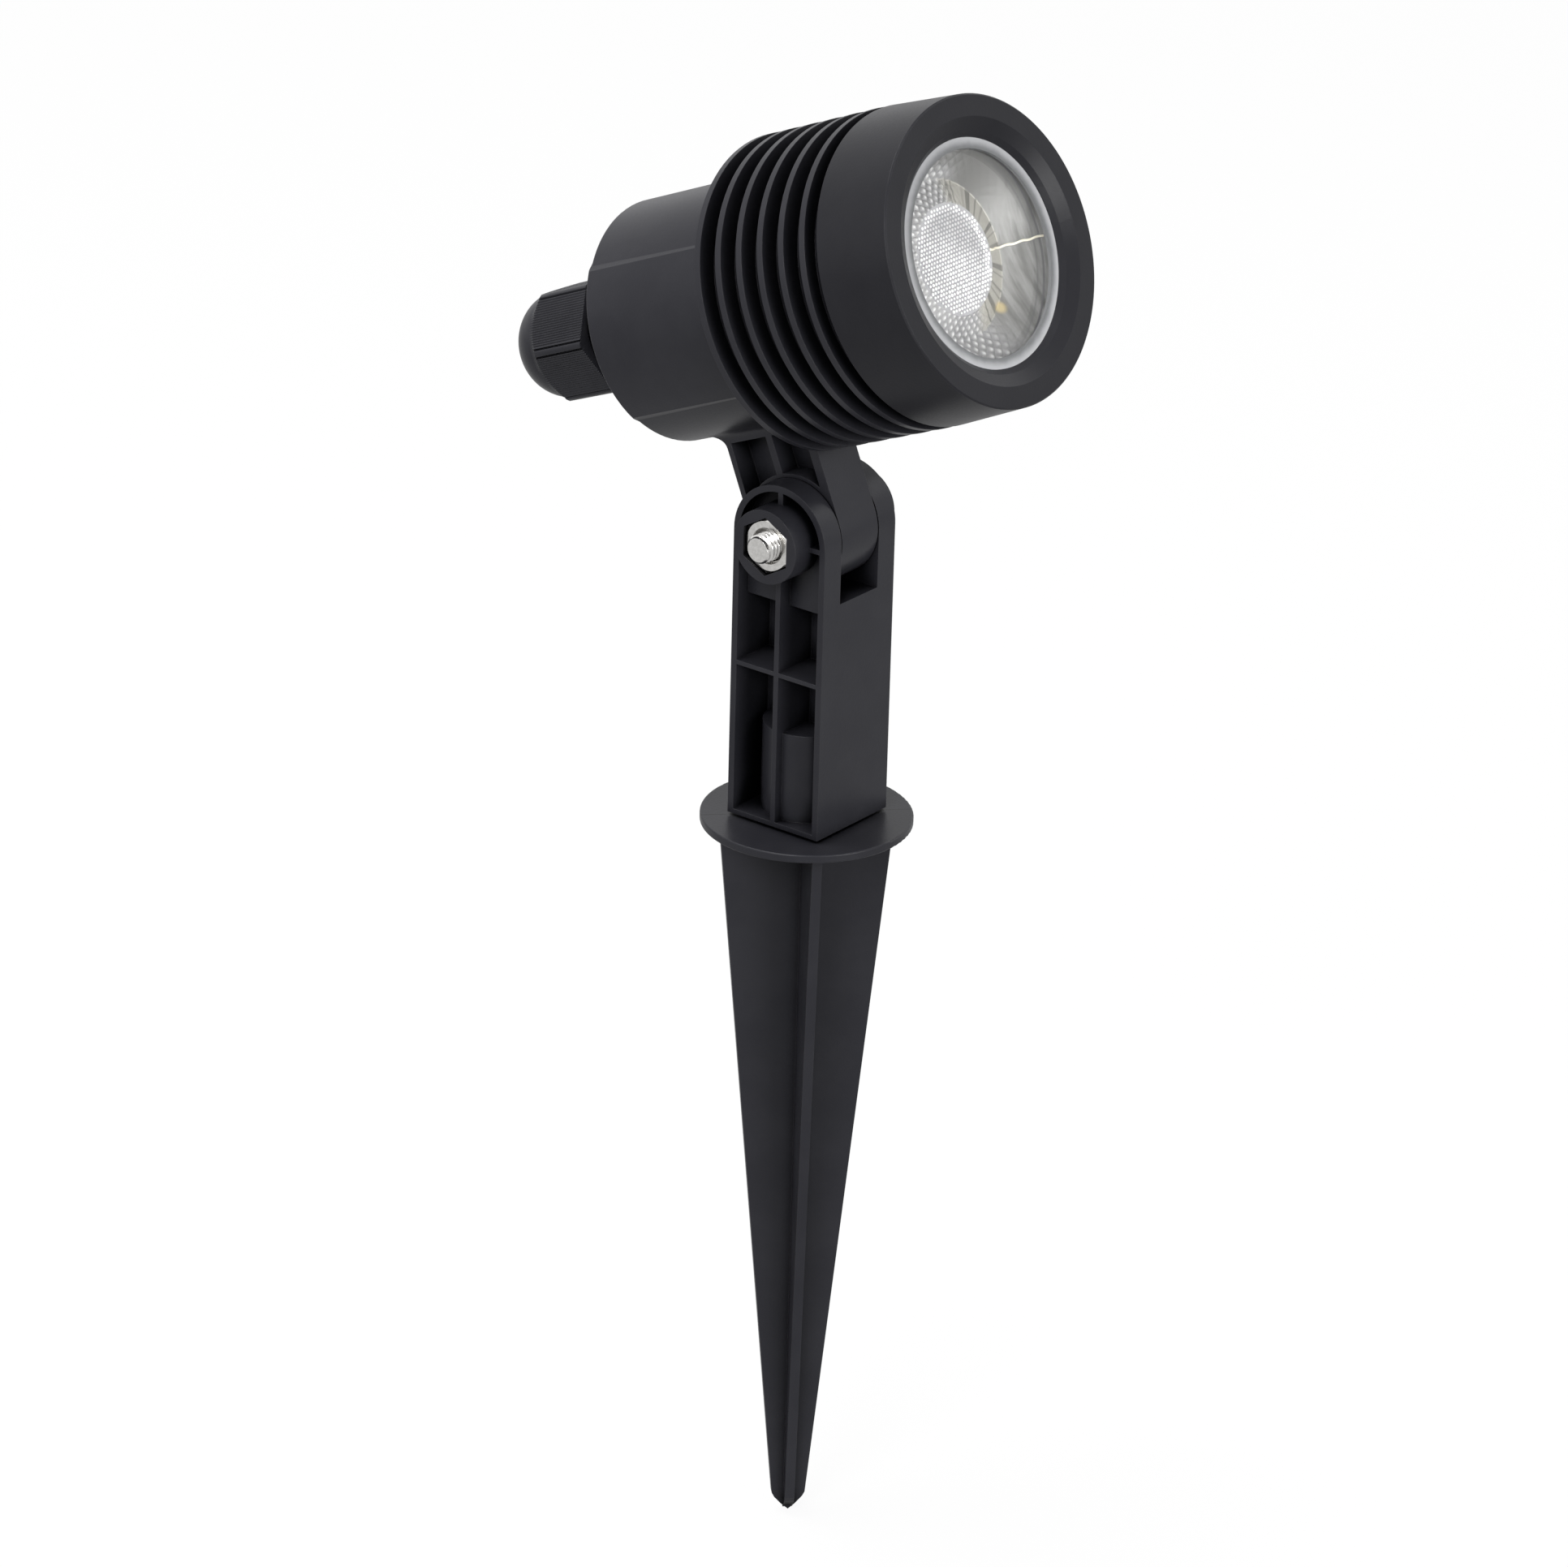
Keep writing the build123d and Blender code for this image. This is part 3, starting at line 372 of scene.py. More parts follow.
def clearOptic(look):
    material, wire, place = newMaterial("optic_clear")
    x, y = (part / mm for part in inHeadFrame(wire, place).split()[:2])
    radius = (x * x + y * y).of("SQRT")
    across, down = x / radius, y / radius
    crest = wire.node("ShaderNodeAttribute", {"attribute_name": "crest"}, outlet=2)
    cloud = noise(wire, place, look["cloudScale"])
    # cone of scales: painted highlights on the crests, painted light on the left and painted shade in
    # its upper part
    peak = crest.of("POWER", look["peakPower"]) * look["peakShare"]
    left = across.between(*look["left"], look["leftShare"], 0.0)
    fill = peak + left + cloud.between(*look["cloud"]) * look["cloudShare"]
    cone = fill.clamped().blend(look["hollow"], look["crest"])
    upper = down.between(*look["upper"], 1.0, 0.0)
    shaded = upper * radius.between(*look["upperR"]) * across.between(*look["upperSide"])
    cone = (shaded * look["upperShare"]).blend(cone, look["streak"])
    # streaks that run down the right side, and thin dark arcs near its rim, painted as the shadow and
    # reflection of the gasket's edge
    right = across.between(*look["right"])
    runX, runY = look["streakRun"]
    streaks = noise(wire, wire.parts(x * runX, y * runY, 0.0), 1.0)
    streaks = streaks.between(*look["streaks"]).of("MAXIMUM", upper)
    cone = right.blend(cone, streaks.blend(look["even"], look["streak"]))
    outerArc = radius.band(look["arcR"], look["arcHalf"], look["arcSoft"])
    innerArc = radius.band(look["arcR"] - look["arcGap"], look["innerArcHalf"], look["arcSoft"])
    arcs = outerArc + innerArc * look["innerArcShare"]
    cone = (arcs * right * look["arcShare"]).blend(cone, look["dark"])
    # ring round the disc: cream and beige lengths on the right
    turn = wire.maths("ARCTAN2", y, x) * look["lengthTurn"]
    lengths = noise(wire, wire.parts(turn, 0.0, 0.0), 1.0, detail=2.0, roughness=0.5)
    lengths = lengths.between(*look["lengths"]).blend(look["beige"], look["cream"])
    ring = ((radius < look["ringR"]) * across.between(*look["ringSide"])).blend(cone, lengths)
    # disc: dark between the domes at the lower left, hazy elsewhere, with painted highlights on the dome
    # tops and painted glints on the domes at its right edge
    slantX, slantY = look["slant"]
    clear = (x * slantX + y * slantY).between(*look["hazeAcross"])
    clear = clear * radius.between(*look["hazeR"], 1.0, 0.0)
    disc = (clear * look["hazeShare"]).blend(look["discGap"], look["haze"])
    bright = (1.0 - clear * look["hazeCalm"]) * crest.between(*look["domeTop"])
    sparks = radius.band(look["sparkR"], look["sparkHalf"], look["sparkSoft"])
    sparks = sparks * across.between(*look["sparkSide"]) * crest.between(*look["domeSide"])
    disc = bright.of("MAXIMUM", sparks).blend(disc, look["spark"])
    # yellow glimpse of the chip
    gx, gy = look["glimpsePlace"]
    off = ((x - gx) * (x - gx) + (y - gy) * (y - gy)).of("SQRT")
    near = off.between(*look["glimpseR"], look["glimpseShare"], 0.0)
    colour = near.blend((radius < look["discR"]).blend(ring, disc), look["glimpse"])
    finishMaterial(wire, wire.node("ShaderNodeBsdfPrincipled", **{
        "Base Color": colour, "Roughness": look["roughness"] + (cloud - 0.5) * look["cloudRough"],
        "Specular IOR Level": look["specular"], "Coat Weight": look["coat"],
        "Coat Roughness": look["coatRough"]}))
    return material


glandPlastic = mouldedPlastic("gland_black", mouldedLook, {
    "roughness": 0.31, "cloudScale": 120.0, "paintedShadeReach": 0.001})
bezelPlastic = mouldedPlastic("bezel_black", mouldedLook, {
    "body": (0.0105, 0.0105, 0.0135, 1.0), "pale": (0.0135, 0.0135, 0.0168, 1.0), "roughness": 0.36})
spikePlastic = mouldedPlastic("spike_black", mouldedLook, {"seam": 0.00011, "seamAbove": 0.0})
ownFinish = {"front_bezel": bezelPlastic, "ground_spike": spikePlastic}
finishes = {
    "moulded_black": mouldedPlastic("moulded_black", mouldedLook), "gland_black": glandPlastic,
    "stainless": stainlessSteel(stainlessLook), "seal_black": softRubber("seal_black", rubberLook),
    "silicone_grey": softSilicone(siliconeLook), "clear_glass": clearGlass(glassLook),
    "optic_clear": clearOptic(opticLook)}
for slotName, values in plainLooks.items():
    finishes[slotName] = plainFinish(slotName, values)

slotOf = {row["node"]: row["material_slot"] for row in frame["record"]["subparts"]}
for nodeName, cadNode in nodes.items():
    cadNode.data.materials.clear()
    cadNode.data.materials.append(ownFinish.get(nodeName, finishes[slotOf[nodeName]]))
print("finishes:", len(finishes))


# pieces whose shape follows a rule: a turned mesh in mm, bent by a node tree, then put in its place

def turnedMesh(name, outline, around, loop=False):
    # outline: (radius, depth) or (radius, depth, kind), kind is read by the rule
    work = bmesh.new()
    kind = work.verts.layers.float.new("kind")
    rings = []
    for radius, depth, *rest in outline:
        ring = []
        for i in range(1 if radius == 0.0 else around):
            angle = 2 * math.pi * i / around
            vert = work.verts.new((radius * math.cos(angle), radius * math.sin(angle), depth))
            vert[kind] = rest[0] if rest else 0.0
            ring.append(vert)
        rings.append(ring)
    pairs = list(zip(rings, rings[1:])) + ([(rings[-1], rings[0])] if loop else [])
    for first, second in pairs:
        for i in range(around):
            j = (i + 1) % around
            corners = (first[i % len(first)], first[j % len(first)],
                       second[j % len(second)], second[i % len(second)])
            work.faces.new(list(dict.fromkeys(corners)))
    bmesh.ops.recalc_face_normals(work, faces=work.faces)
    mesh = bpy.data.meshes.new(name)
    work.to_mesh(mesh)
    work.free()
    return mesh


def openRule(name, sizes):
    # a node tree with named inputs for its sizes
    tree = bpy.data.node_groups.new(name, "GeometryNodeTree")
    tree.interface.new_socket("Shape", in_out="INPUT", socket_type="NodeSocketGeometry")
    for size in sizes:
        tree.interface.new_socket(size, in_out="INPUT", socket_type="NodeSocketFloat")
    tree.interface.new_socket("Finish", in_out="INPUT", socket_type="NodeSocketMaterial")
    tree.interface.new_socket("Shape", in_out="OUTPUT", socket_type="NodeSocketGeometry")
    entry = tree.nodes.new("NodeGroupInput")
    return {socket.name: Wire(tree, socket) for socket in entry.outputs if socket.name}


def closeRule(inlets, shape):
    real = shape.node("GeometryNodeRealizeInstances", Geometry=shape)
    done = real.node("GeometryNodeSetMaterial", Geometry=real, Material=inlets["Finish"])
    out = shape.tree.nodes.new("NodeGroupOutput")
    shape.tree.links.new(done.socket, out.inputs[0])
    return shape.tree


def polarPlace(wire):
    position = wire.node("GeometryNodeInputPosition")
    x, y, z = position.split()
    return position, z, (x * x + y * y).of("SQRT"), wire.maths("ARCTAN2", y, x)


leastRadius = 1e-4   # mm, so that nothing is divided by zero on the axis
turnLift = 100.0     # whole turns added before FRACT, so that it never gets a negative value


def atRadius(shape, position, radius, wanted):
    # every point moved in or out to the wanted radius
    stretch = wanted / radius.of("MAXIMUM", leastRadius)
    factors = shape.parts(stretch, stretch, 1.0)
    moved = shape.node("ShaderNodeVectorMath", {"operation": "MULTIPLY"}, s0=position, s1=factors)
    return shape.node("GeometryNodeSetPosition", Geometry=shape, Position=moved)


def makeByRule(name, mesh, tree, sizes, finish, place, sharp):
    piece = bpy.data.objects.new(name, mesh)
    bpy.context.scene.collection.objects.link(piece)
    rule = piece.modifiers.new("rule", "NODES")
    rule.node_group = tree
    for item in tree.interface.items_tree:
        if item.in_out == "INPUT" and item.name in sizes:
            rule[item.identifier] = float(sizes[item.name])
        elif item.in_out == "INPUT" and item.name == "Finish":
            rule[item.identifier] = finish
    made = bpy.data.meshes.new_from_object(piece.evaluated_get(bpy.context.evaluated_depsgraph_get()))
    piece.modifiers.remove(rule)
    piece.data = made
    made.transform(place)
    made.shade_smooth()
    made.set_sharp_from_angle(angle=math.radians(sharp))
    return piece


def onBody(piece, body, slotName, *replaced):
    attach(piece, body)
    if replaced:
        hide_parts(*replaced)
    print(piece.name, "has", len(piece.data.polygons), "faces")


def hexRadius(angle, apothem, corner):
    # radius of a rounded hexagon at an angle from a corner, the run along its edge from that corner,
    # and the whole run from a corner to the middle of a side
    side = math.pi / 3
    off = ((angle / side + turnLift).of("FRACT") - 0.5).of("ABSOLUTE") * side
    fromCorner = math.pi / 6 - off
    straight = apothem / off.of("COSINE")
    inner = apothem - corner
    reach = inner / math.cos(math.pi / 6)
    across = fromCorner.of("SINE") * reach
    rest = (corner * corner - across * across).of("MAXIMUM", 0.0)
    bent = fromCorner.of("COSINE") * reach + rest.of("SQRT")
    half = inner * math.tan(math.pi / 6)
    along = apothem * off.of("TANGENT")
    isBent = along > half
    bend = corner * (math.pi / 6)
    swing = (bent * fromCorner.of("SINE") / corner).of("MINIMUM", 1.0).of("ARCSINE") * corner
    run = half - along + bend
    return straight + (bent - straight) * isBent, run + (swing - run) * isBent, half + bend


# gland cap: hexagonal grip with fine ribs, domed end

capSizes = {"Front flats": 22.0, "Rear flats": 21.7, "Start": 96.45, "End": 110.6, "Corner round": 1.5,
            "Corner turn": 2.7, "Ribs": 12.0, "Rib depth": 0.2, "Rib fade": 0.35, "Corner groove": 0.85}
capShape = {"cornerR": 12.7, "gripRings": (0.0, 0.2, 3.0, 6.5, 10.0), "edgeStart": 108.9, "edgeR": 12.58,
            "edgeSteps": 5, "domeR": 10.78, "domeHeight": 9.38, "domeSteps": 12, "lipR": 6.42,
            "lipFlat": 0.5, "lipRise": 0.05, "holeR": 5.2, "holeRound": (0.3, 0.4), "boreR": 9.08,
            "boreEnd": 108.9, "boreRound": 0.3, "cone": 3.4, "around": 1296, "sharp": 50.0,
            # first rib in rib steps, corner groove in mm, its depth in rib depths
            "ribsFrom": 2.5, "grooveHalf": 0.12, "grooveSoft": 0.14, "grooveDepth": 2.2}


def capOutline(shape, start, end):
    points = [(shape["cornerR"], start + run) for run in shape["gripRings"]]
    points.append((shape["edgeR"], shape["edgeStart"]))
    for i in range(1, shape["edgeSteps"] + 1):
        t = i / shape["edgeSteps"]
        points.append((shape["edgeR"] + (shape["domeR"] - shape["edgeR"]) * t,
                       shape["edgeStart"] + (end - shape["edgeStart"]) * t))
    lip = math.acos(shape["lipR"] / shape["domeR"])
    for i in range(1, shape["domeSteps"] + 1):
        angle = lip * i / shape["domeSteps"]
        points.append((shape["domeR"] * math.cos(angle), end + shape["domeHeight"] * math.sin(angle)))
    lipEnd = points[-1][1]
    wide, deep = shape["holeRound"]
    return points + [
        (shape["lipR"] - shape["lipFlat"], lipEnd + shape["lipRise"]),
        (shape["holeR"] + wide, lipEnd - shape["lipRise"]), (shape["holeR"], lipEnd - deep),
        (shape["holeR"], shape["boreEnd"] + shape["cone"]), (shape["boreR"], shape["boreEnd"]),
        (shape["boreR"], start + shape["boreRound"]), (shape["boreR"] + shape["boreRound"], start)]


def capRule(form):
    inlets = openRule("ribbed hexagon", capSizes)
    shape = inlets["Shape"]
    position, z, radius, angle = polarPlace(shape)
    t = ((z - inlets["Start"]) / (inlets["End"] - inlets["Start"])).clamped()
    apothem = (inlets["Front flats"] + (inlets["Rear flats"] - inlets["Front flats"]) * t) * 0.5
    turn = inlets["Corner turn"] * (math.pi / 180)
    hexagon, run, whole = hexRadius(angle - turn, apothem, inlets["Corner round"])
    step = run / whole * inlets["Ribs"]
    groove = ((step * (2 * math.pi)).of("COSINE") * 0.5 + 0.5) * (step > form["ribsFrom"])
    # a wider, deeper groove on each side of a corner
    wide = run.band(inlets["Corner groove"], form["grooveHalf"], form["grooveSoft"])
    wide = wide * form["grooveDepth"]
    fade = ((inlets["End"] - z) / inlets["Rib fade"]).clamped()
    wanted = (hexagon - (groove + wide) * fade * inlets["Rib depth"]).of("MINIMUM", radius)
    return closeRule(inlets, atRadius(shape, position, radius, wanted))


capMesh = turnedMesh("gland cap", capOutline(capShape, capSizes["Start"], capSizes["End"]),
                     capShape["around"], loop=True)
glandCap = makeByRule("gland_cap_ribbed", capMesh, capRule(capShape), capSizes, glandPlastic,
                      headPlace(headPose["glandDrop"]), capShape["sharp"])
onBody(glandCap, "gland_cap", "gland_black", "gland_cap")


# pivot bolt with its thread and hexagon socket, drawn along its own axis

boltSizes = {"Pitch": 1.0, "Outer": 3.0, "Depth": 0.55, "Thread end": 7.0, "Socket flats": 4.0,
             "Socket round": 0.15}
boltShape = {"end": -18.0, "chamfer": 0.6, "ringStep": 0.125, "seat": 12.0, "seatRound": 0.15,
             "headR": 5.25, "headRound": 1.4, "roundSteps": 6, "headTop": 15.3, "socketR": 2.5,
             "socketFloor": 13.3, "around": 48, "sharp": 40.0, "ridgeSlope": 2.4, "ridgeFlat": 0.1}
threadKind, socketKind, kindSlack = 1.0, 2.0, 0.1   # marks on the outline's points, read by the rule


def boltOutline(shape, outer, threadEnd):
    points = [(0.0, shape["end"]), (outer - shape["chamfer"], shape["end"])]
    threadStart = shape["end"] + shape["chamfer"]
    for i in range(round((threadEnd - threadStart) / shape["ringStep"]) + 1):
        points.append((outer, threadStart + i * shape["ringStep"], threadKind))
    points += [(outer, shape["seat"]), (shape["headR"] - shape["seatRound"], shape["seat"]),
               (shape["headR"], shape["seat"] + shape["seatRound"])]
    for i in range(shape["roundSteps"] + 1):
        angle = math.pi / 2 / shape["roundSteps"] * i
        points.append((shape["headR"] - shape["headRound"] * (1 - math.cos(angle)),
                       shape["headTop"] - shape["headRound"] * (1 - math.sin(angle))))
    return points + [(shape["socketR"], shape["headTop"], socketKind),
                     (shape["socketR"], shape["socketFloor"], socketKind), (0.0, shape["socketFloor"])]


def boltRule(form):
    inlets = openRule("thread and socket", boltSizes)
    shape = inlets["Shape"]
    position, z, radius, angle = polarPlace(shape)
    kind = shape.node("GeometryNodeInputNamedAttribute", {"data_type": "FLOAT"}, Name="kind")
    isThread, isSocket = (kind.band(value, kindSlack, kindSlack) for value in (threadKind, socketKind))
    phase = (z / inlets["Pitch"] - angle / (2 * math.pi) + turnLift).of("FRACT")
    ridge = ((phase - 0.5).of("ABSOLUTE") * form["ridgeSlope"] - form["ridgeFlat"]).clamped()
    runOut = ((inlets["Thread end"] - z) / inlets["Pitch"]).clamped()
    thread = inlets["Outer"] - ridge * runOut * inlets["Depth"]
    socket = hexRadius(angle, inlets["Socket flats"] * 0.5, inlets["Socket round"])[0]
    wanted = radius + (thread - radius).of("MINIMUM", 0.0) * isThread + (socket - radius) * isSocket
    return closeRule(inlets, atRadius(shape, position, radius, wanted))


boltPlace = Matrix.Scale(mm, 4) @ Matrix.Translation((0.0, 0.0, headPose["pivot"])) @ Matrix.Rotation(
    math.pi / 2, 4, "Y")
boltMesh = turnedMesh("pivot bolt",
                      boltOutline(boltShape, boltSizes["Outer"], boltSizes["Thread end"]),
                      boltShape["around"])
pivotBolt = makeByRule("pivot_bolt_threaded", boltMesh, boltRule(boltShape), boltSizes,
                       finishes["stainless"], boltPlace, boltShape["sharp"])
onBody(pivotBolt, "stem", "stainless", "pivot_bolt")


# face of the optic: flat disc, moat round it, cone of scales, smooth rim, and the body behind it

opticSizes = {"Inner": 11.0, "Count": 48.0, "Row": 1.08, "Height": 0.45, "Even side": 0.06}
opticShape = {"floor": 10.8, "firstR": 5.0, "discR": 10.8, "ringRise": 0.1, "moatR": 15.4, "moat": 12.5,
              "scaleEnd": 22.0, "coneR": 23.9, "coneTop": 7.45, "ringRows": 36, "coneRows": 60,
              "rimR": 24.28, "rimFront": 7.27, "rimRound": 0.1, "rimBack": 8.83, "backR": 23.2,
              "bend": 11.0, "bendR": 22.0, "rear": 23.0, "rearR": 7.6, "pocketR": 5.4, "pocketTopR": 4.8,
              "pocketTop": 17.5, "around": 576, "sharp": 20.0, "evenSide": (0.1, 0.7)}


def opticOutline(shape, inner):
    # each point of the moat's wall and the cone also holds how far a scale is raised there
    floor, soft = shape["floor"], shape["rimRound"]
    moat, top = (shape["moatR"], shape["moat"]), (shape["coneR"], shape["coneTop"])
    points = [(0.0, floor), (shape["firstR"], floor), (shape["discR"], floor)]
    legs = [((inner, floor + shape["ringRise"]), moat, shape["ringRows"]),
            (moat, top, shape["coneRows"])]
    for (startR, start), (endR, end), rows in legs:
        for i in range(rows):
            t = i / rows
            radius = startR + (endR - startR) * t
            raised = min(1.0, max(0.0, shape["scaleEnd"] - radius))
            points.append((radius, start + (end - start) * t, raised))
    return points + [
        top, (shape["coneR"] + soft, shape["rimFront"]), (shape["rimR"] - soft, shape["rimFront"]),
        (shape["rimR"], shape["rimFront"] + soft), (shape["rimR"], shape["rimBack"]),
        (shape["backR"], shape["rimBack"]), (shape["bendR"], shape["bend"]),
        (shape["rearR"], shape["rear"]), (shape["pocketR"], shape["rear"]),
        (shape["pocketTopR"], shape["pocketTop"]), (0.0, shape["pocketTop"])]


def opticRule(form):
    inlets = openRule("scales in spirals", opticSizes)
    shape = inlets["Shape"]
    radius, angle = polarPlace(shape)[2:]
    kind = shape.node("GeometryNodeInputNamedAttribute", {"data_type": "FLOAT"}, Name="kind")
    around = angle * inlets["Count"] / (2 * math.pi) + turnLift
    out = (radius - inlets["Inner"]) / (inlets["Row"] * 2.0)
    # two sets of spirals cut the face into scales, each 1 at its middle and 0 along its edges
    first, second = (around + out).of("FRACT"), (around - out).of("FRACT")
    scale = first * (1.0 - first) * second * (1.0 - second) * 16.0
    # the scales are low on the +X side and full on the others
    side = angle.of("COSINE").between(*form["evenSide"], 1.0, inlets["Even side"])
    lift = scale * side * inlets["Height"] * kind
    offset = shape.parts(0.0, 0.0, 0.0 - lift)
    crest = scale * side * kind.clamped()
    marked = shape.node("GeometryNodeStoreNamedAttribute", {"data_type": "FLOAT", "domain": "POINT"},
                        Geometry=shape, Name="crest", Value=crest)
    return closeRule(inlets, shape.node("GeometryNodeSetPosition", Geometry=marked, Offset=offset))


opticMesh = turnedMesh("optic", opticOutline(opticShape, opticSizes["Inner"]), opticShape["around"])
opticFace = makeByRule("lamp_optic_scaled", opticMesh, opticRule(opticShape), opticSizes,
                       finishes["optic_clear"], headPlace(), opticShape["sharp"])
onBody(opticFace, "head", "optic_clear", "lamp_optic")


# honeycomb of small domes on the disc

domeSizes = {"Pitch": 0.88, "Limit": 10.4, "Height": 0.50, "Floor": 10.85, "Columns": 30.0,
             "Width": 0.46, "Least": 0.7, "Most": 1.08, "Flat side": 0.3}
domeShape = {"segments": 12, "rings": 6, "sharp": 60.0, "slant": (0.5, -0.8), "slantRun": (-3.0, 4.0),
             "rowSlack": 0.001}
domeSeed = 4


def domeRule(form):
    inlets = openRule("honeycomb", domeSizes)
    entry = inlets["Shape"]
    columns, pitch = inlets["Columns"], inlets["Pitch"]
    grid = entry.node("GeometryNodeMeshGrid", s0=1.0, s1=1.0, s2=columns, s3=columns)
    index = entry.node("GeometryNodeInputIndex")
    row = (index / columns + form["rowSlack"]).of("FLOOR")
    column = index - row * columns
    # every other row is half a pitch to the side
    x = (column - columns * 0.5 + row.of("MODULO", 2.0) * 0.5) * pitch
    y = (row - columns * 0.5) * pitch * math.sqrt(0.75)
    spread = entry.node("GeometryNodeSetPosition", Geometry=grid,
                        Position=entry.parts(x, y, inlets["Floor"]))
    px, py = entry.node("GeometryNodeInputPosition").split()[:2]
    outside = (px * px + py * py).of("SQRT") > inlets["Limit"]
    kept = entry.node("GeometryNodeDeleteGeometry", {"domain": "POINT"}, Geometry=spread,
                      Selection=outside)
    points = entry.node("GeometryNodeMeshToPoints", Mesh=kept)
    ball = entry.node("GeometryNodeMeshUVSphere", Segments=form["segments"], Rings=form["rings"],
                      Radius=1.0)
    wide = pitch * inlets["Width"]
    top = entry.node("GeometryNodeInputPosition").split()[2]
    marked = entry.node("GeometryNodeStoreNamedAttribute", {"data_type": "FLOAT", "domain": "POINT"},
                        Geometry=ball, Name="crest", Value=(0.0 - top).clamped())
    flattened = entry.node("GeometryNodeTransform", Geometry=marked,
                           Scale=entry.parts(wide, wide, inlets["Height"]))
    size = entry.node("FunctionNodeRandomValue", {"data_type": "FLOAT"}, outlet=1, s2=inlets["Least"],
                      s3=inlets["Most"], s8=domeSeed)
    # lower domes towards the upper right
    slantX, slantY = form["slant"]
    flat = (px * slantX + py * slantY).between(*form["slantRun"], 1.0, inlets["Flat side"])
    domes = entry.node("GeometryNodeInstanceOnPoints", Points=points, Instance=flattened,
                       Scale=entry.parts(size, size, size * flat))
    return closeRule(inlets, domes)


domes = makeByRule("optic_domes", bpy.data.meshes.new("domes"), domeRule(domeShape), domeSizes,
                   finishes["optic_clear"], headPlace(), domeShape["sharp"])
onBody(domes, "head", "optic_clear")


# thin wavy line that crosses the optic from the disc to the rim

lineLook = {"colour": (0.86, 0.80, 0.64), "pale": (0.92, 0.88, 0.76), "roughness": 0.4, "scale": 900.0,
             "thickness": 0.24, "sides": 3, "steps": 8, "order": 3,
             # radius, depth, degrees
             "points": [(10.8, 10.72, 4.6), (12.2, 11.30, 5.6), (13.8, 11.90, 4.4), (15.4, 12.40, 5.4),
                        (16.8, 11.58, 4.2), (18.2, 10.76, 5.2), (19.6, 9.93, 4.1), (20.9, 9.15, 5.0),
                        (22.2, 8.37, 4.0), (23.4, 7.65, 4.6)]}


def wavyLine(look):
    data = bpy.data.curves.new("line", "CURVE")
    data.dimensions, data.bevel_depth, data.bevel_resolution = "3D", look["thickness"], look["sides"]
    data.use_fill_caps = True
    data.resolution_u = look["steps"]
    spline = data.splines.new("NURBS")
    spline.points.add(len(look["points"]) - 1)
    for point, (radius, depth, degrees) in zip(spline.points, look["points"]):
        angle = math.radians(degrees)
        point.co = (radius * math.cos(angle), radius * math.sin(angle), depth, 1.0)
    spline.order_u, spline.use_endpoint_u = look["order"], True
    route = bpy.data.objects.new("line route", data)
    bpy.context.scene.collection.objects.link(route)
    mesh = bpy.data.meshes.new_from_object(route.evaluated_get(bpy.context.evaluated_depsgraph_get()))
    bpy.data.objects.remove(route)
    mesh.transform(headPlace())
    mesh.shade_smooth()
    values = (look["colour"], look["pale"], look["roughness"], 0.0, look["scale"])
    mesh.materials.append(plainFinish("optic_line", values))
    piece = bpy.data.objects.new("optic_line", mesh)
    bpy.context.scene.collection.objects.link(piece)
    return piece


onBody(wavyLine(lineLook), "head", "optic_clear")


# stage, light and camera

photo = {"width": 1932, "focal": 8500.0}   # pixels
view = {"azimuth": -52.591, "elevation": 23.601, "roll": 1.533,   # degrees
        "place": (-0.99276, -0.75344, 0.55220), "clip": (0.05, 40.0),   # metres
        "sensor": 36.0}   # mm


def cameraAxes():
    a, e, r = (math.radians(view[k]) for k in ("azimuth", "elevation", "roll"))
    back = Vector((math.sin(a) * math.cos(e), -math.cos(a) * math.cos(e), math.sin(e)))
    right = Vector((math.cos(a), math.sin(a), 0.0))
    up = back.cross(right)
    return right * math.cos(r) + up * math.sin(r), up * math.cos(r) - right * math.sin(r), back


def addCamera():
    right, up, back = cameraAxes()
    data = bpy.data.cameras.new("camera")
    data.sensor_width, data.sensor_fit = view["sensor"], "HORIZONTAL"
    data.lens = photo["focal"] / photo["width"] * view["sensor"]
    data.clip_start, data.clip_end = view["clip"]
    camera = bpy.data.objects.new("camera", data)
    turn = Matrix((right, up, back)).transposed().to_4x4()
    camera.matrix_world = Matrix.Translation(view["place"]) @ turn
    bpy.context.scene.collection.objects.link(camera)
    bpy.context.scene.camera = camera


stageLook = {"floor": -0.1556, "reach": 6.0, "aim": (0.0, 0.0, 0.08),   # metres
             "colour": 0.93, "bounce": 0.22, "world": 0.34, "white": 1.0, "glow": 0.92, "sheen": 0.50}


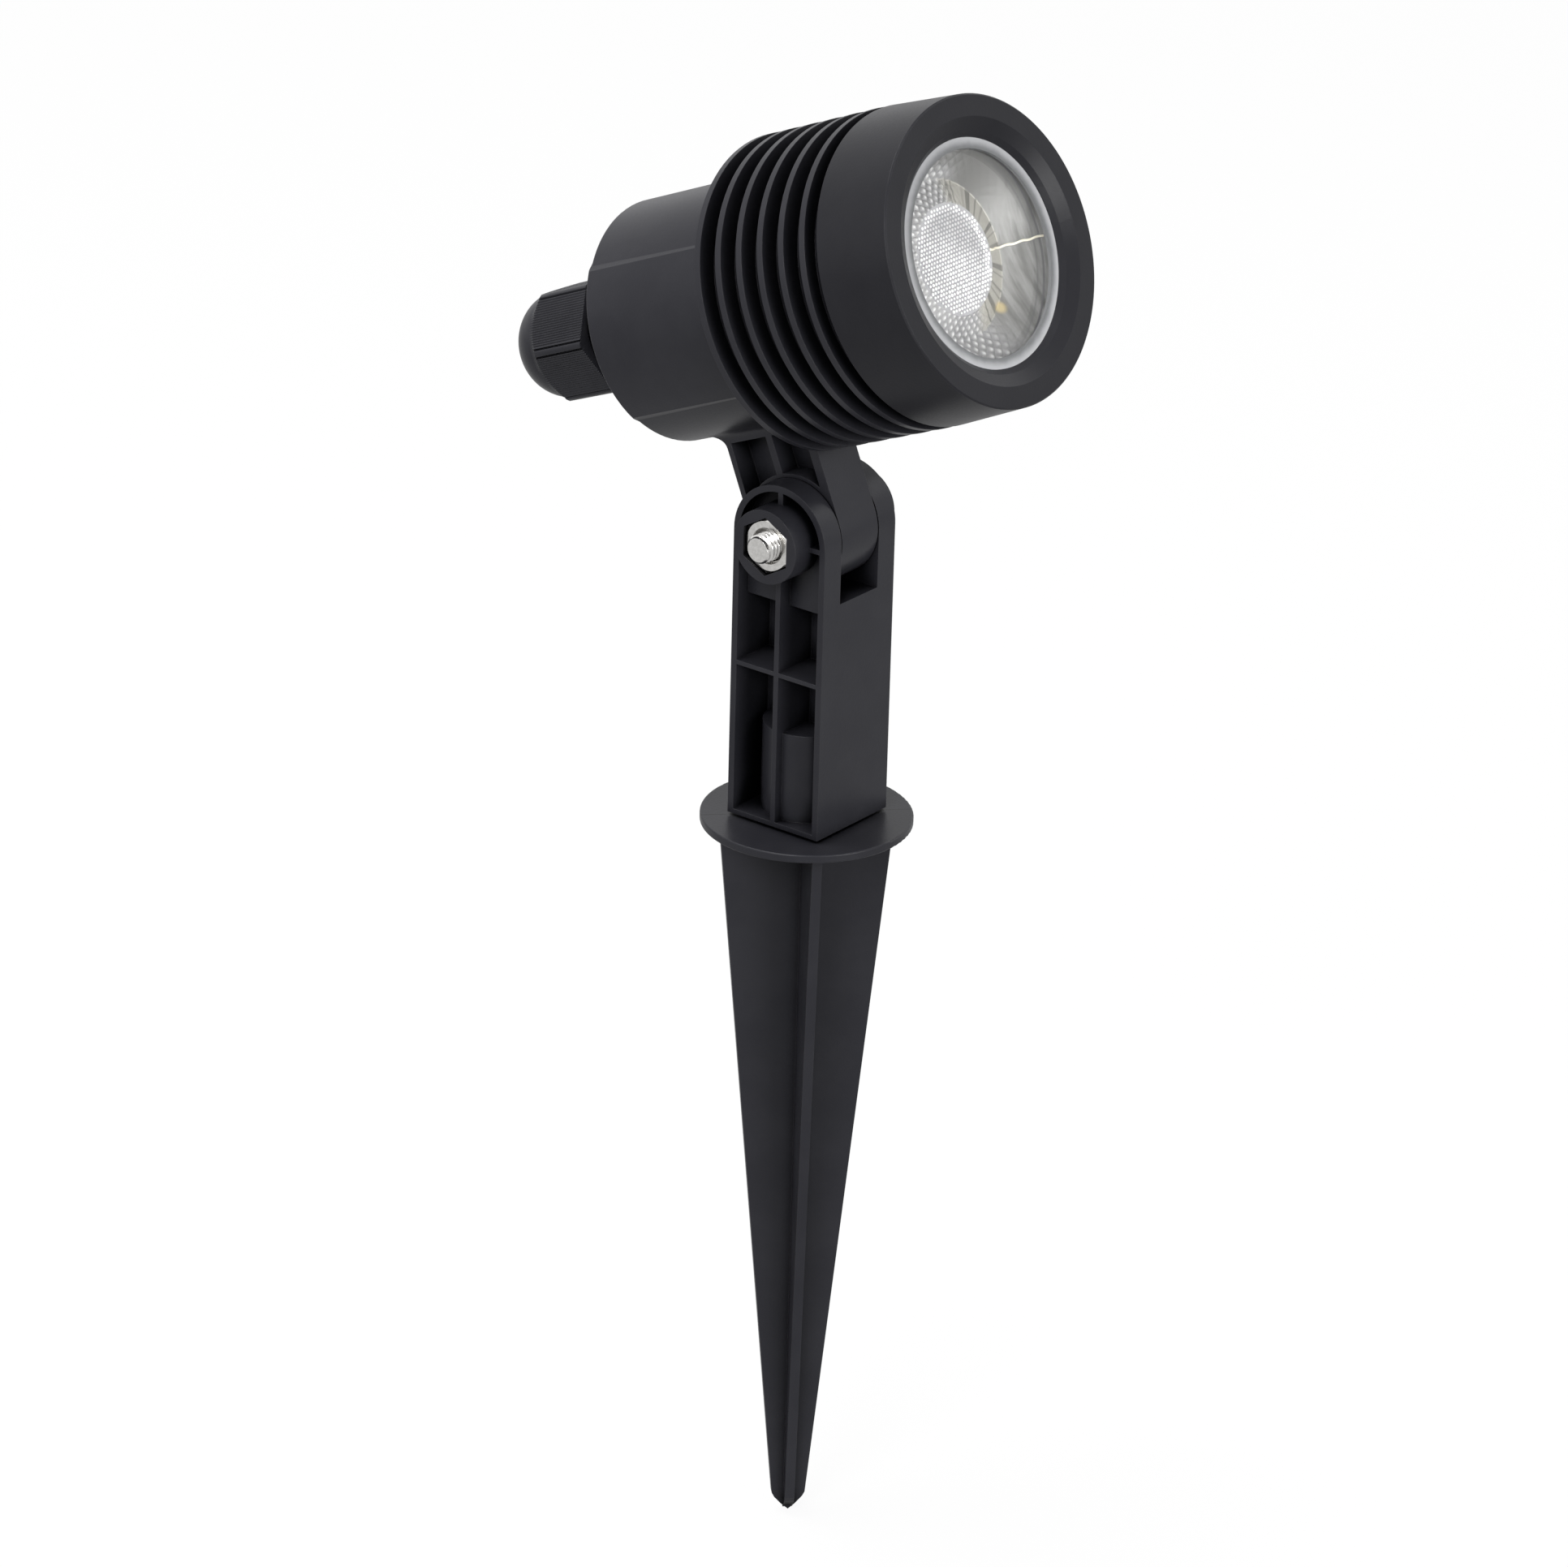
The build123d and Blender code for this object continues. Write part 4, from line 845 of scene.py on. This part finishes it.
def whiteBackdrop():
    # pale floor: camera rays see it near white and glossy ones pale, other rays a plain surface
    material, wire, place = newMaterial("stage_white")
    glow = wire.node("ShaderNodeEmission", Color=grey(1.0), Strength=stageLook["white"])
    seen, glossy = rays(wire, "camera", "glossy")
    shade = seen.blend(grey(stageLook["bounce"]), grey(stageLook["colour"]))
    diffuse = wire.node("ShaderNodeBsdfDiffuse", Color=shade)
    share = seen * stageLook["glow"] + glossy * stageLook["sheen"]
    finishMaterial(wire, wire.node("ShaderNodeMixShader", s0=share, s1=diffuse, s2=glow))
    return material


def addFloor():
    mesh = bpy.data.meshes.new("floor")
    r, z = stageLook["reach"], stageLook["floor"]
    mesh.from_pydata([(-r, -r, z), (r, -r, z), (r, r, z), (-r, r, z)], [], [(0, 1, 2, 3)])
    floor = bpy.data.objects.new("floor", mesh)
    mesh.materials.append(whiteBackdrop())
    bpy.context.scene.collection.objects.link(floor)


def addWorld():
    # white where it is seen straight on, in reflections or through the glass, dimmer as light
    world = bpy.data.worlds.new("studio")
    bpy.context.scene.world = world
    world.use_nodes = True
    world.node_tree.nodes.clear()
    wire = Wire(world.node_tree)
    camera, glossy, through = rays(wire, "camera", "glossy", "through")
    seen = (camera + glossy + through).clamped()
    light = wire.node("ShaderNodeBackground", Color=grey(1.0), Strength=stageLook["world"])
    white = wire.node("ShaderNodeBackground", Color=grey(1.0), Strength=stageLook["white"])
    out = world.node_tree.nodes.new("ShaderNodeOutputWorld")
    mixed = wire.node("ShaderNodeMixShader", s0=seen, s1=light, s2=white)
    world.node_tree.links.new(mixed.socket, out.inputs["Surface"])


softLights = {
    # name: (place in metres, size, power in watts), each aimed at the lamp's head
    "key": ((-1.7, -0.4, 1.2), 1.1, 25.0),
    "side": ((1.6, -0.6, 0.9), 0.9, 2.5),
    "front": ((-0.35, -2.1, 0.0), 1.3, 38.0),
    "top": ((-0.2, 0.5, 1.9), 1.2, 27.0),
}


def addLights():
    aim = Vector(stageLook["aim"])
    for name, (place, size, power) in softLights.items():
        data = bpy.data.lights.new(name, "AREA")
        data.shape, data.size, data.energy = "DISK", size, power
        lamp = bpy.data.objects.new(name, data)
        lamp.location = place
        lamp.rotation_euler = (aim - Vector(place)).to_track_quat("-Z", "Y").to_euler()
        bpy.context.scene.collection.objects.link(lamp)


addCamera()
addFloor()
addWorld()
addLights()
bpy.context.scene.view_settings.view_transform = "Standard"
print("stage, light and camera placed")
